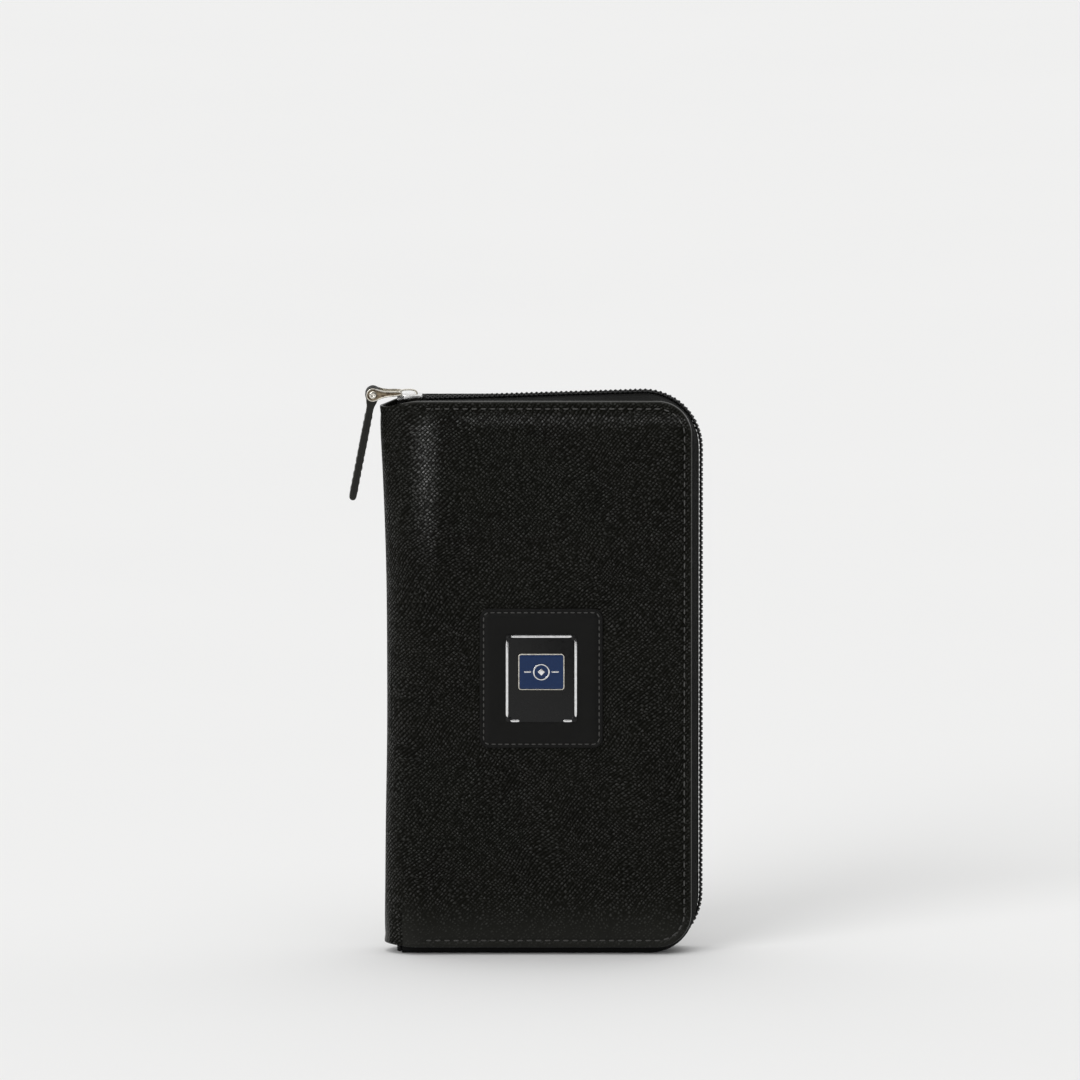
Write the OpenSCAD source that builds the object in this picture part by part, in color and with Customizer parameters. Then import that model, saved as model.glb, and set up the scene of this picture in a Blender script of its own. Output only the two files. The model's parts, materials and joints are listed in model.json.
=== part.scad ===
// Zip-around travel document organizer.
// It stands upright: spine at -X, zipper at +X, front cover facing -Y, +Z up.
// The origin is the middle of the footprint, leather puller included, on the plane it stands on.
// Every module draws with x counted from the outside of the spine; at_home() then moves it.

/* [Overall] */
// Width from the outside of the spine to the zipper coil
body_w = 128; // [124:1:134]
// Height from the standing plane to the top of the zipper coil
body_h = 230; // [226:1:240]
// Thickness over both covers
body_d = 26; // [26:1:28]

/* [Covers] */
// How far the zipper stands out past the edge of the covers
zip_reach = 4.6; // [4:0.1:5]
// Height of the covers' lower edge above the standing plane
cover_bottom = 3; // [2.5:0.1:3.5]
// Height of the covers' upper edge
cover_top = 226.5; // [224:0.5:226.5]
// Corner radius of the covers
cover_corner = 14; // [12:1:16]
// Thickness of the outer leather
leather_t = 1.2; // [1:0.1:1.4]
// Thickness of the foam padding
foam_t = 1.5; // [1:0.1:1.6]
// Thickness of the stiffening board
board_t = 0.8; // [0.6:0.1:0.9]
// Thickness of the fabric lining
lining_t = 0.5; // [0.4:0.1:0.6]
// Distance of the stitching from the cover's edge
stitch_inset = 2.6; // [2:0.1:3.5]

/* [Spine] */
// Lower end of the rounded spine
spine_bottom = 3.7; // [3:0.1:6]
// Upper end of the rounded spine
spine_top = 223.4; // [220:0.2:223.4]

/* [Zipper] */
// Thickness of the zipper tape
tape_t = 1.4; // [1.4:0.1:1.6]
// Height of the zipper coil
coil_t = 1.7; // [1.5:0.1:1.8]
// Corner radius of the zipper, over the coil
zip_corner = 24; // [20:1:26]
// Upward slope of the top run, from the spine to the corner, in degrees
zip_slope = 1.8; // [0:0.1:2]
// Where the front row of coil begins, beside the parked slider, counted from the spine
front_coil_start = 15.6; // [15.6:0.1:18]
// Where the other coil and tape ends lie, counted from the spine
coil_end = 6; // [5.5:0.1:8]
// Length of the slider
slider_len = 10.6; // [9:0.1:11]
// Width of the slider
slider_w = 8.4; // [8:0.1:9]
// Free length of the leather puller
strap_len = 44; // [36:1:48]
// Width of the leather puller
strap_w = 7; // [6:0.5:7]
// Outward lean of the hanging puller, in degrees
strap_lean = 11; // [8:1:14]

/* [Badge] */
// Width and height of the leather patch
patch_size = [50, 57];
// Width and height of the metal plate
plate_size = [28.8, 35.5];
// Width and height of the blue enamel
enamel_size = [18.7, 14.8];
// Middle of the badge, from the spine and from the standing plane
badge_at = [62.5, 113.5];

/* [Inside] */
// Free depth of the ticket, passport and coin pockets
pocket_gap = 4.6; // [4.4:0.1:4.8]
// Thickness of a pocket panel
panel_t = 0.8; // [0.6:0.1:0.8]
// Height of the opening of the ticket pocket
ticket_top = 205; // [196:1:205]
// Height of the opening of the passport pocket
passport_top = 116; // [100:1:118]
// Step between one card slot and the next
card_step = 12; // [10:1:13]
// Height of the middle of the coin pocket's zipper
coin_zip_z = 212; // [211:0.5:213]

/* [Hidden] */
$fn = 72;

leather_black = [0.06, 0.06, 0.055];
lining_black = [0.13, 0.13, 0.13];
tape_black = [0.1, 0.1, 0.1];
coil_black = [0.03, 0.03, 0.03];
thread_black = [0.17, 0.17, 0.16];
board_grey = [0.5, 0.48, 0.44];
foam_grey = [0.35, 0.35, 0.36];
chrome = [0.8, 0.8, 0.82];
old_nickel = [0.55, 0.51, 0.43];
enamel_blue = [0.05, 0.15, 0.4];

// How far the hanging puller reaches past the spine, and the middle of the whole footprint
puller_reach = 15.3;
origin_x = (body_w - puller_reach) / 2;

// Layers of a cover, as distances from the middle plane
half_d = body_d / 2;
foam_y = half_d - leather_t;
board_y = foam_y - foam_t;
lining_y = board_y - board_t;
inner_y = lining_y - lining_t;
cover_right = body_w - zip_reach;
corner_drop = 4;
groove_w = 0.8;
groove_t = 0.5;

// The spine is a half tube; fold lines stand on its outer face
fold_angles = [-15, -45, -75];
fold_gap = 0.5;
spine_r = half_d;
end_gusset_t = 1.5;
end_gap = 0.3;
end_tab = 2;
hinge_play = 0.6;
lining_inset = 2.6;

// The zipper wall: an arch of four steps from the covers' edge to the coil
apex_right = body_w - coil_t;
apex_top = body_h - coil_t;
apex_r = zip_corner - coil_t;
edge_play = 0.3;
step_share = [0.3, 0.6, 0.85, 1];
step_bottom = [1.2, 0, 0.6, coil_t];
coil_half = 2.8;
tape_gap = 0.6;
coil_gap = 0.4;
step_w = (lining_y - coil_half) / 3;
step_lap = 0.05;
front_start = [coil_end, front_coil_start];
rear_start = [coil_end, coil_end];

// The slider's frame: x along the top run from the slider's nose, z up from the tape
slider_x = 3.8;
plate_t = 0.7;
flange_x = 4.2;
flange_t = 1;
web_x = 0.4;
web_len = 3.2;
web_half = 0.22;
lower_plate_z = -2.5;
flange_z = 0.35;
top_plate_z = coil_t + 0.12;
bail_foot_z = top_plate_z + plate_t;
bail_x = 0.5;
bail_len = 8.4;
bail_h = 2.2;
bail_w = 1.4;
bail_leg = 0.6;
bail_bar = 0.7;
bail_corner = 1;
pivot = [1.8, 0, bail_foot_z + 0.8];
pivot_r = 0.55;
neck_r = 0.75;
clip_len = 11.2;
eye_r = 2.7;
pin_r = 1.1;
pin_head_r = 1.6;
pin_head_t = 0.4;
eye = [pivot[0] - clip_len, 0, pivot[2] - 0.2];
cheek_t = 0.9;
cheek_y = strap_w / 2 + 0.2;
strap_t = 2.9;
strap_loop_r = 3.1;

// Heights of the badge's layers above the cover
patch_t = 0.7;
plate_depth = 0.4;
trim_rise = patch_t + plate_depth;
trim_depth = 0.3;
enamel_z = 2.8;
enamel_t = 0.3;
bezel_w = 0.5;
patch_groove_t = 0.3;

// Pockets in the rear cover
ticket_x = [18, 120];
ticket_z = 12;
ticket_face_y = inner_y - pocket_gap - panel_t;
passport_x = [24, 116];
passport_z = 16;
thumb_notch_r = 11;

// Card slots and coin pocket in the front cover
card_x = [22, 114];
card_z = 14;
card_top = 102;
card_backing_t = 0.6;
card_t = 0.7;
coin_x = [19, 117];
coin_z = [112, 220];
coin_face_y = -(inner_y - pocket_gap);

// The coin pocket's zipper, in a window of its panel; the two halves leave a slot for the slider
window_half = 4;
window_x = [coin_x[0] + 5, coin_x[1] - 5];
coin_slot_half = 0.4;
coin_tape_half = 6;
coin_coil_half = 1.6;
coin_coil_t = 1.1;
coin_slider_len = 7;
coin_slider_x = 27;
coin_slider_half = 2.6;
coin_plate_y = coin_face_y + coin_coil_t + 0.12;
coin_pivot = [coin_slider_x + coin_slider_len / 2, coin_plate_y + 1.15];
coin_pull_len = 10;

// ---------- Points and outlines ----------

function mix(a, b, share) = a + (b - a) * share;

function arc(centre, r, from, to, steps = 14) = [
  for (i = [0:steps])
    let (a = mix(from, to, i / steps))
    [centre[0] + r * cos(a), centre[1] + r * sin(a)]
];

// Page with rounded corners on the zipper side; its top rises to the right by slope degrees.
// left holds where its lower and its upper edge begin.
function page(left, right, bottom, top, r, slope = 0) = concat(
  [[left[0], bottom]],
  arc([right - r, bottom + r], r, -90, 0),
  arc([right - r, top - r], r, 0, 90 + slope),
  [[left[1], run_height(left[1], right, top, r, slope)]]
);

// Height of that page's top edge at x
function run_height(x, right, top, r, slope) =
  top - r + r * cos(slope) - (right - r - r * sin(slope) - x) * tan(slope);

// A cover's outline, drawn in by inset; its spine corners are cut down to the spine's ends
function cover_outline(inset, left = spine_r) = concat(
  [[left, spine_bottom + inset], [left + corner_drop, cover_bottom + inset]],
  arc([cover_right - cover_corner, cover_bottom + cover_corner], cover_corner - inset, -90, 0),
  arc([cover_right - cover_corner, cover_top - cover_corner], cover_corner - inset, 0, 90),
  [[left + corner_drop, cover_top - inset], [left, spine_top - inset]]
);

// Outline k of the zipper wall, drawn in by inset
function wall_right(k) = mix(cover_right - edge_play, apex_right, step_share[k]);
function wall_top(k) = mix(cover_top - edge_play, apex_top, step_share[k]);
function wall_r(k) = mix(cover_corner - edge_play, apex_r, step_share[k]);
function wall_page(k, left, inset) = page(
  left, wall_right(k) - inset, step_bottom[k] + inset, wall_top(k) - inset,
  wall_r(k) - inset, zip_slope * step_share[k]
);
function tape_height(x) = run_height(x, apex_right, apex_top, apex_r, zip_slope);

// ---------- Building blocks ----------

module at_home() {
  translate([-origin_x, 0, 0]) children();
}

// Stands a flat x-z shape up between two distances from the middle plane
module slab(y0, y1) {
  translate([0, max(y0, y1), 0])
    rotate([90, 0, 0])
      linear_extrude(abs(y1 - y0)) children();
}

// Repeats a front shape on the rear cover
module on_rear() {
  mirror([0, 1, 0]) children();
}

module box(x0, x1, y0, y1, z0, z1) {
  translate([x0, y0, z0]) cube([x1 - x0, y1 - y0, z1 - z0]);
}

module rounded_rect(size, r) {
  inner = [size[0] - 2 * r, size[1] - 2 * r];
  square([size[0], inner[1]], center = true);
  square([inner[0], size[1]], center = true);
  for (sx = [-1, 1])
    for (sz = [-1, 1])
      translate([sx * inner[0] / 2, sz * inner[1] / 2]) circle(r);
}

module rect_ring(size, r, wall) {
  difference() {
    rounded_rect(size, r);
    rounded_rect([size[0] - 2 * wall, size[1] - 2 * wall], r - wall);
  }
}

// ---------- Covers ----------

module cover_leather() {
  difference() {
    slab(-half_d, -lining_y) polygon(cover_outline(0));
    slab(-foam_y, -lining_y + 1) polygon(cover_outline(leather_t, spine_r - 1));
    slab(-half_d - 1, -half_d + groove_t) seam_line(0, groove_w);
  }
}

// Band of a given width along the cover's three free edges
module seam_line(start, width) {
  inset = stitch_inset + start;
  difference() {
    polygon(cover_outline(inset, spine_r + 2 + start));
    polygon(cover_outline(inset + width, spine_r + 1));
  }
}

module cover_stitching() {
  slab(-half_d, -half_d + groove_t) seam_line(groove_w / 8, groove_w * 3 / 4);
}

module cover_fill(y0, y1) {
  slab(-y0, -y1) polygon(cover_outline(leather_t + 0.05, spine_r + 1));
}

module cover_lining() {
  slab(-lining_y, -inner_y) polygon(cover_outline(lining_inset));
}

// Part of the half tube of the spine, between two angles counted from its middle
module spine_tube(from, to, r_out, wall) {
  translate([spine_r, 0, spine_bottom])
    rotate([0, 0, 180 - to])
      rotate_extrude(angle = to - from)
        translate([r_out - wall, 0]) square([wall, spine_top - spine_bottom]);
}

module fold_strip(k, r_out, wall) {
  spine_tube(fold_angles[k + 1] + fold_gap, fold_angles[k] - fold_gap, r_out, wall);
}

module rear_leather() {
  color(leather_black) at_home() on_rear() cover_leather();
}

module spine_leather() {
  color(leather_black) at_home()
    spine_tube(fold_angles[0] + fold_gap, 90, spine_r, leather_t);
}

module spine_lining() {
  color(lining_black) at_home()
    spine_tube(fold_angles[0] + fold_gap, 90, spine_r - leather_t, lining_t);
}

// Folded end of the zipper tape that closes one end of the spine. It is sewn to the rear cover by
// a tab and leaves the hinge corner of the front cover free.
module spine_end(z) {
  r = spine_r - leather_t - lining_t - end_gap;
  front_y = -inner_y + hinge_play;
  color(tape_black) at_home() translate([spine_r, 0, z]) {
    intersection() {
      cylinder(r = r, h = end_gusset_t);
      translate([-r, front_y, 0]) cube([r - hinge_play, r - front_y, end_gusset_t]);
    }
    translate([-1, inner_y / 3, 0]) cube([1 + end_tab, inner_y * 2 / 3, end_gusset_t]);
  }
}

module spine_end_top() {
  spine_end(tape_height(slider_x) + lower_plate_z - 0.25 - end_gusset_t);
}

module spine_end_bottom() {
  spine_end(spine_bottom + 0.3);
}

module fold_leather(k) {
  color(leather_black) at_home() fold_strip(k, spine_r, leather_t);
}

module fold_lining(k) {
  color(lining_black) at_home() fold_strip(k, spine_r - leather_t, lining_t);
}

module front_leather() {
  color(leather_black) at_home() {
    cover_leather();
    spine_tube(-90, fold_angles[2] - fold_gap, spine_r, leather_t);
  }
}

module rear_foam() {
  color(foam_grey) at_home() on_rear() cover_fill(foam_y, board_y);
}

module front_foam() {
  color(foam_grey) at_home() cover_fill(foam_y, board_y);
}

module rear_board() {
  color(board_grey) at_home() on_rear() cover_fill(board_y, lining_y);
}

module front_board() {
  color(board_grey) at_home() cover_fill(board_y, lining_y);
}

module rear_lining() {
  color(lining_black) at_home() on_rear() cover_lining();
}

module front_lining() {
  color(lining_black) at_home() cover_lining();
}

module rear_stitching() {
  color(thread_black) at_home() on_rear() cover_stitching();
}

module front_stitching() {
  color(thread_black) at_home() cover_stitching();
}

// ---------- Main zipper ----------

// Half of the zipper wall, on the front cover's side; start holds its lower and its upper end
module zip_tape(start) {
  for (k = [0:3]) {
    outer_edge = lining_y - k * step_w + (k > 0 ? step_lap : 0);
    inner_edge = k < 3 ? lining_y - (k + 1) * step_w : tape_gap;
    slab(-outer_edge, -inner_edge) difference() {
      polygon(wall_page(k, start, 0));
      polygon(wall_page(k, [start[0] - 1, start[1] - 1], tape_t));
    }
  }
}

module coil_row(start) {
  slab(-coil_half, -coil_gap) difference() {
    polygon(page(start, body_w, 0, body_h, zip_corner, zip_slope));
    polygon(page([start[0] - 1, start[1] - 1], apex_right, coil_t, apex_top, apex_r, zip_slope));
  }
}

module zip_stop() {
  box(coil_end - 2, coil_end, -coil_half - 0.4, -coil_gap, 0.1, coil_t + tape_t);
}

module rear_zip_tape() {
  color(tape_black) at_home() on_rear() zip_tape(rear_start);
}

module front_zip_tape() {
  color(tape_black) at_home() zip_tape(front_start);
}

module rear_coil() {
  color(coil_black) at_home() on_rear() coil_row(rear_start);
}

module front_coil() {
  color(coil_black) at_home() coil_row(front_start);
}

module rear_zip_stop() {
  color(chrome) at_home() on_rear() zip_stop();
}

module front_zip_stop() {
  color(chrome) at_home() zip_stop();
}

// ---------- Slider, pull and puller strap ----------

module in_slider_frame() {
  translate([slider_x, 0, tape_height(slider_x)])
    rotate([0, -zip_slope, 0]) children();
}

// Flat plate with a rounded nose, seen from above
module slider_plate(z, width) {
  nose_r = width / 2 - 1;
  translate([0, 0, z]) linear_extrude(plate_t) {
    translate([nose_r, 0]) circle(nose_r);
    translate([nose_r, -width / 2 + 1]) square([slider_len - nose_r, width - 2]);
    translate([nose_r + 1, -width / 2]) square([slider_len - nose_r - 1, width]);
  }
}

module slider_body() {
  color(chrome) at_home() in_slider_frame() {
    slider_plate(top_plate_z, slider_w);
    slider_plate(lower_plate_z, slider_w - 1);
    for (y = [-slider_w / 2, slider_w / 2 - flange_t])
      box(flange_x, slider_len, y, y + flange_t, flange_z, bail_foot_z);
    box(web_x, web_x + web_len, -web_half, web_half, lower_plate_z + plate_t / 2, top_plate_z + plate_t / 2);
  }
}

module slider_bail() {
  color(chrome) at_home() in_slider_frame()
    slab(-bail_w / 2, bail_w / 2) translate([bail_x, bail_foot_z]) difference() {
      union() {
        square([bail_len, bail_h - bail_corner]);
        translate([bail_corner, 0]) square([bail_len - 2 * bail_corner, bail_h]);
        for (x = [bail_corner, bail_len - bail_corner])
          translate([x, bail_h - bail_corner]) circle(bail_corner);
      }
      translate([bail_leg, 0]) square([bail_len - 2 * bail_leg, bail_h - bail_bar]);
    }
}

// Teardrop cheek: a large circle at the eye and a small one at the pivot, joined by tangents
module cheek(y0) {
  reach = pivot[0] - eye[0];
  lean = asin((eye_r - neck_r) / reach);
  tangent = [sin(lean), cos(lean)];
  slab(y0, y0 + cheek_t) {
    translate([eye[0], eye[2]]) circle(eye_r);
    translate([pivot[0], pivot[2]]) circle(neck_r);
    polygon([
      [eye[0] + eye_r * tangent[0], eye[2] + eye_r * tangent[1]],
      [pivot[0] + neck_r * tangent[0], pivot[2] + neck_r * tangent[1]],
      [pivot[0] + neck_r * tangent[0], pivot[2] - neck_r * tangent[1]],
      [eye[0] + eye_r * tangent[0], eye[2] - eye_r * tangent[1]]
    ]);
  }
}

// Rod across the organizer, in the slider's frame
module cross_rod(at, r, half) {
  translate([at[0], half, at[2]]) rotate([90, 0, 0]) cylinder(r = r, h = 2 * half);
}

module pull_clip() {
  color(old_nickel) at_home() in_slider_frame() difference() {
    union() {
      cheek(cheek_y);
      cheek(-cheek_y - cheek_t);
      cross_rod(pivot, pivot_r, cheek_y + cheek_t);
    }
    cross_rod(eye, pin_r, cheek_y + cheek_t + 1);
  }
}

module pull_pin() {
  color(old_nickel) at_home() in_slider_frame() {
    cross_rod(eye, pin_r, cheek_y + cheek_t);
    for (y = [cheek_y + cheek_t + pin_head_t, -cheek_y - cheek_t])
      translate([eye[0], y, eye[2]]) rotate([90, 0, 0]) cylinder(r = pin_head_r, h = pin_head_t);
  }
}

// Doubled leather strip that loops round the pin and hangs down
module puller_strap() {
  color(leather_black) at_home() in_slider_frame() translate(eye)
    rotate([0, zip_slope + strap_lean, 0]) difference() {
      slab(-strap_w / 2, strap_w / 2) {
        circle(strap_loop_r);
        translate([-strap_t / 2, -strap_len + strap_t / 2]) square([strap_t, strap_len - strap_t / 2]);
        translate([0, -strap_len + strap_t / 2]) circle(strap_t / 2);
      }
      translate([0, strap_w, 0]) rotate([90, 0, 0]) cylinder(r = pin_r + 0.06, h = 2 * strap_w);
    }
}

// ---------- Badge ----------

// Lays a flat shape centred on the badge, standing from rise to rise + depth off the cover
module on_badge(rise, depth) {
  translate([badge_at[0], 0, badge_at[1]])
    slab(-half_d - rise - depth, -half_d - rise) children();
}

module badge_patch() {
  color(leather_black) at_home() difference() {
    on_badge(0, patch_t) rounded_rect(patch_size, 6);
    on_badge(patch_t - patch_groove_t, 1)
      rect_ring([patch_size[0] - 2.6, patch_size[1] - 2.6], 4.7, groove_w);
  }
}

module badge_stitching() {
  color(thread_black) at_home()
    on_badge(patch_t - patch_groove_t, patch_groove_t)
      rect_ring([patch_size[0] - 2.8, patch_size[1] - 2.8], 4.6, groove_w - 0.2);
}

module badge_plate() {
  color(coil_black) at_home() on_badge(patch_t, plate_depth) rounded_rect(plate_size, 1);
}

module badge_frame() {
  bar = 0.9;
  half = plate_size / 2;
  corner = 2.4;
  foot = 3.6;
  color(chrome) at_home() on_badge(trim_rise, trim_depth) {
    for (side = [-1, 1]) {
      translate([side * (half[0] - bar / 2), 0])
        square([bar, plate_size[1] - 2 * corner], center = true);
      translate([side * (half[0] - corner - foot / 2), -half[1] + bar / 2])
        square([foot, bar], center = true);
    }
    translate([0, half[1] - bar / 2]) square([plate_size[0] - 2 * corner, bar], center = true);
  }
}

module badge_rivets() {
  from_edge = 1.3;
  rivet_r = 0.9;
  color(coil_black) at_home()
    for (sx = [-1, 1])
      for (sz = [-1, 1])
        on_badge(trim_rise, trim_depth)
          translate([sx * (plate_size[0] / 2 - from_edge), sz * (plate_size[1] / 2 - from_edge)])
            circle(rivet_r);
}

module badge_bezel() {
  color(chrome) at_home() on_badge(trim_rise, 0.5)
    translate([0, enamel_z]) rect_ring(enamel_size, 1.2, bezel_w);
}

module badge_enamel() {
  color(enamel_blue) at_home() on_badge(trim_rise, enamel_t)
    translate([0, enamel_z])
      rounded_rect([enamel_size[0] - 2 * bezel_w - 0.1, enamel_size[1] - 2 * bezel_w - 0.1], 0.6);
}

// A plain motif: a ring round a small diamond, with a bar on each side
module badge_motif() {
  ring_r = 3.4;
  line = 0.6;
  diamond = 1.5;
  color(chrome) at_home() on_badge(trim_rise + enamel_t, 0.2) translate([0, enamel_z]) {
    difference() {
      circle(ring_r);
      circle(ring_r - line);
    }
    polygon([[-diamond, 0], [0, -diamond], [diamond, 0], [0, diamond]]);
    for (side = [-1, 1])
      translate([side * (ring_r + 2.2), 0]) square([3, line], center = true);
  }
}

// ---------- Inside of the rear cover ----------

// A pocket is a panel on a folded gusset that runs down both sides and along the bottom
module pocket_panel(x, z0, z1, back_y) {
  box(x[0], x[1], back_y - pocket_gap - panel_t, back_y - pocket_gap, z0, z1);
}

module pocket_gusset(x, z0, z1, back_y) {
  face_y = back_y - pocket_gap;
  box(x[0], x[0] + panel_t, face_y, back_y, z0, z1);
  box(x[1] - panel_t, x[1], face_y, back_y, z0, z1);
  box(x[0], x[1], face_y, back_y, z0, z0 + panel_t);
}

module ticket_panel() {
  color(leather_black) at_home() pocket_panel(ticket_x, ticket_z, ticket_top, inner_y);
}

module ticket_gusset() {
  color(leather_black) at_home() pocket_gusset(ticket_x, ticket_z, ticket_top, inner_y);
}

module passport_panel() {
  color(leather_black) at_home() difference() {
    pocket_panel(passport_x, passport_z, passport_top, ticket_face_y);
    translate([(passport_x[0] + passport_x[1]) / 2, ticket_face_y, passport_top])
      rotate([90, 0, 0]) cylinder(r = thumb_notch_r, h = pocket_gap + panel_t + 1);
  }
}

module passport_gusset() {
  color(leather_black) at_home()
    pocket_gusset(passport_x, passport_z, passport_top, ticket_face_y);
}

// ---------- Inside of the front cover ----------

module card_backing() {
  color(lining_black) at_home()
    box(card_x[0] - 2, card_x[1] + 2, -inner_y, -inner_y + card_backing_t, card_z - 2, card_top + 4);
}

module card_slot(k) {
  y0 = -inner_y + card_backing_t + (k - 1) * card_t;
  color(leather_black) at_home()
    box(card_x[0], card_x[1], y0, y0 + card_t, card_z, card_top - (k - 1) * card_step);
}

module coin_pocket() {
  color(leather_black) at_home() difference() {
    union() {
      box(coin_x[0], coin_x[1], coin_face_y, coin_face_y + panel_t, coin_z[0], coin_z[1]);
      for (x = [coin_x[0], coin_x[1] - panel_t])
        box(x, x + panel_t, -inner_y, coin_face_y + 0.1, coin_z[0], coin_z[1]);
      box(coin_x[0], coin_x[1], -inner_y, coin_face_y + 0.1, coin_z[0], coin_z[0] + panel_t);
      box(coin_x[0], coin_x[1], -inner_y, coin_face_y + 0.1, coin_z[1] - panel_t, coin_z[1]);
    }
    box(window_x[0], window_x[1], coin_face_y - 1, 0, coin_zip_z - window_half, coin_zip_z + window_half);
  }
}

// One half of the coin zipper on each side of its slot, out to reach, as a strip of x, y
module coin_zip_halves(x0, x1, y0, y1, reach) {
  for (side = [0, 1])
    translate([0, 0, coin_zip_z])
      mirror([0, 0, side]) box(x0, x1, y0, y1, coin_slot_half, reach);
}

module coin_zip_tape() {
  color(tape_black) at_home()
    coin_zip_halves(window_x[0] - 2, window_x[1] + 2, coin_face_y - panel_t, coin_face_y, coin_tape_half);
}

module coin_zip_coil() {
  color(coil_black) at_home()
    coin_zip_halves(window_x[0] + 1, window_x[1] - 1, coin_face_y, coin_face_y + coin_coil_t,
      coin_coil_half);
}

module coin_slider() {
  plate = 0.6;
  flange = 0.8;
  web_half = 0.14;
  loop_half = 0.5;
  loop_h = 2.3;
  back_y = coin_face_y - panel_t - 0.15;
  front_y = coin_plate_y + plate;
  wide = coin_slider_half;
  color(chrome) at_home() translate([coin_slider_x, 0, coin_zip_z]) {
    for (y = [coin_plate_y, back_y - plate])
      box(0, coin_slider_len, y, y + plate, -wide, wide);
    for (z = [-wide, wide - flange])
      box(0, coin_slider_len, coin_face_y + 0.2, front_y, z, z + flange);
    box(0.4, 2.4, back_y - plate / 2, coin_plate_y + plate / 2, -web_half, web_half);
    difference() {
      box(1, coin_slider_len - 1, front_y - plate / 2, coin_plate_y + loop_h, -loop_half, loop_half);
      box(1.7, coin_slider_len - 1.7, front_y, coin_plate_y + loop_h - plate, -1, 1);
    }
  }
}

// Small tab that lies along the coin zipper and swings on a pin through the slider's loop
module coin_pull() {
  pin = 0.35;
  ear_z = 0.75;
  ear = 0.8;
  ear_len = 4.2;
  half = ear_z + ear;
  tab_x = ear_len - 0.8;
  tab_t = 0.4;
  hole = 0.8;
  color(old_nickel) at_home() translate([coin_pivot[0], coin_pivot[1], coin_zip_z]) {
    cylinder(r = pin, h = 2 * half, center = true);
    for (side = [0, 1])
      mirror([0, 0, side]) {
        translate([0, 0, ear_z]) cylinder(r = tab_t + 0.05, h = ear);
        box(0, ear_len, -tab_t, tab_t, ear_z, half);
      }
    difference() {
      box(tab_x, coin_pull_len, -tab_t, tab_t, -half, half);
      translate([coin_pull_len - 2, 1, 0]) rotate([90, 0, 0]) cylinder(r = hole, h = 2);
    }
  }
}

rear_leather();
spine_leather();
rear_foam();
rear_board();
rear_lining();
spine_lining();
spine_end_top();
spine_end_bottom();
rear_stitching();
rear_zip_tape();
rear_coil();
rear_zip_stop();
ticket_panel();
ticket_gusset();
passport_panel();
passport_gusset();
fold_leather(0);  // fold_a_leather
fold_lining(0);  // fold_a_lining
fold_leather(1);  // fold_b_leather
fold_lining(1);  // fold_b_lining
front_leather();
front_foam();
front_board();
front_lining();
front_stitching();
front_zip_tape();
front_coil();
front_zip_stop();
badge_patch();
badge_stitching();
badge_plate();
badge_frame();
badge_rivets();
badge_bezel();
badge_enamel();
badge_motif();
card_backing();
card_slot(1);  // card_slot_1
card_slot(2);  // card_slot_2
card_slot(3);  // card_slot_3
card_slot(4);  // card_slot_4
coin_pocket();
coin_zip_tape();
coin_zip_coil();
slider_body();
slider_bail();
pull_clip();
pull_pin();
puller_strap();
coin_slider();
coin_pull();
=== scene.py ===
"""Looks of the zip-around travel document organizer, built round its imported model.

Pieces are drawn in millimetres: x from the outside of the spine, y from the middle plane, z from
the standing plane. place() turns such points into the shared frame, in metres.
"""

import json
import math

import bpy
import bmesh
import numpy as np
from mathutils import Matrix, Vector


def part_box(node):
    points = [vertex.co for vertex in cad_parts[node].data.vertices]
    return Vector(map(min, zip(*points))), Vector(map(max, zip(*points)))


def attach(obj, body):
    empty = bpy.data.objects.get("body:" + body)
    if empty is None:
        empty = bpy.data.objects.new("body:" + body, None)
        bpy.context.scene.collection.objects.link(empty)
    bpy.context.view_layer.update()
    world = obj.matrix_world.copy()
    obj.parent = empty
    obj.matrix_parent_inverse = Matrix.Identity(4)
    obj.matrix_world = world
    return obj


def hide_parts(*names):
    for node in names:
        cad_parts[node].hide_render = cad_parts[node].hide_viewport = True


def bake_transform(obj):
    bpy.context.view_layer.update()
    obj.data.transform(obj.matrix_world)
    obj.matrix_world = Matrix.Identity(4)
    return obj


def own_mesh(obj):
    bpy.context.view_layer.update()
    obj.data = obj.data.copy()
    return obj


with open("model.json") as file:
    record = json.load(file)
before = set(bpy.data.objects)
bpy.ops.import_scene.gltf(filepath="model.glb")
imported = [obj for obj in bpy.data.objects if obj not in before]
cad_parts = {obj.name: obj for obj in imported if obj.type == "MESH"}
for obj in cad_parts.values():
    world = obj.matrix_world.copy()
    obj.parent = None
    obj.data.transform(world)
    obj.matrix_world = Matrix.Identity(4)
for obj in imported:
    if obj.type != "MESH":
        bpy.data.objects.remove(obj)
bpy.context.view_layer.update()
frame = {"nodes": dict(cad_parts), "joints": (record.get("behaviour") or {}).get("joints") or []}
joints = {j["name"]: j for j in frame["joints"]}

MM = 0.001
SPINE_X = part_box("spine_leather")[0].x


def place(points):
    """Points in millimetres, x from the spine, as points of the shared frame."""
    moved = np.asarray(points, float) * MM
    moved[..., 0] += SPINE_X
    return moved


def cad_box(node):
    """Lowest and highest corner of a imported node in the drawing's millimetres."""
    shift = np.array([SPINE_X, 0, 0])
    return [(np.array(corner) - shift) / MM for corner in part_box(node)]


def joint_point(name):
    """Where a hinge's axis stands, in the drawing's millimetres."""
    return (np.array(joints[name]["pos_m"]) - [SPINE_X, 0, 0]) / MM


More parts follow.
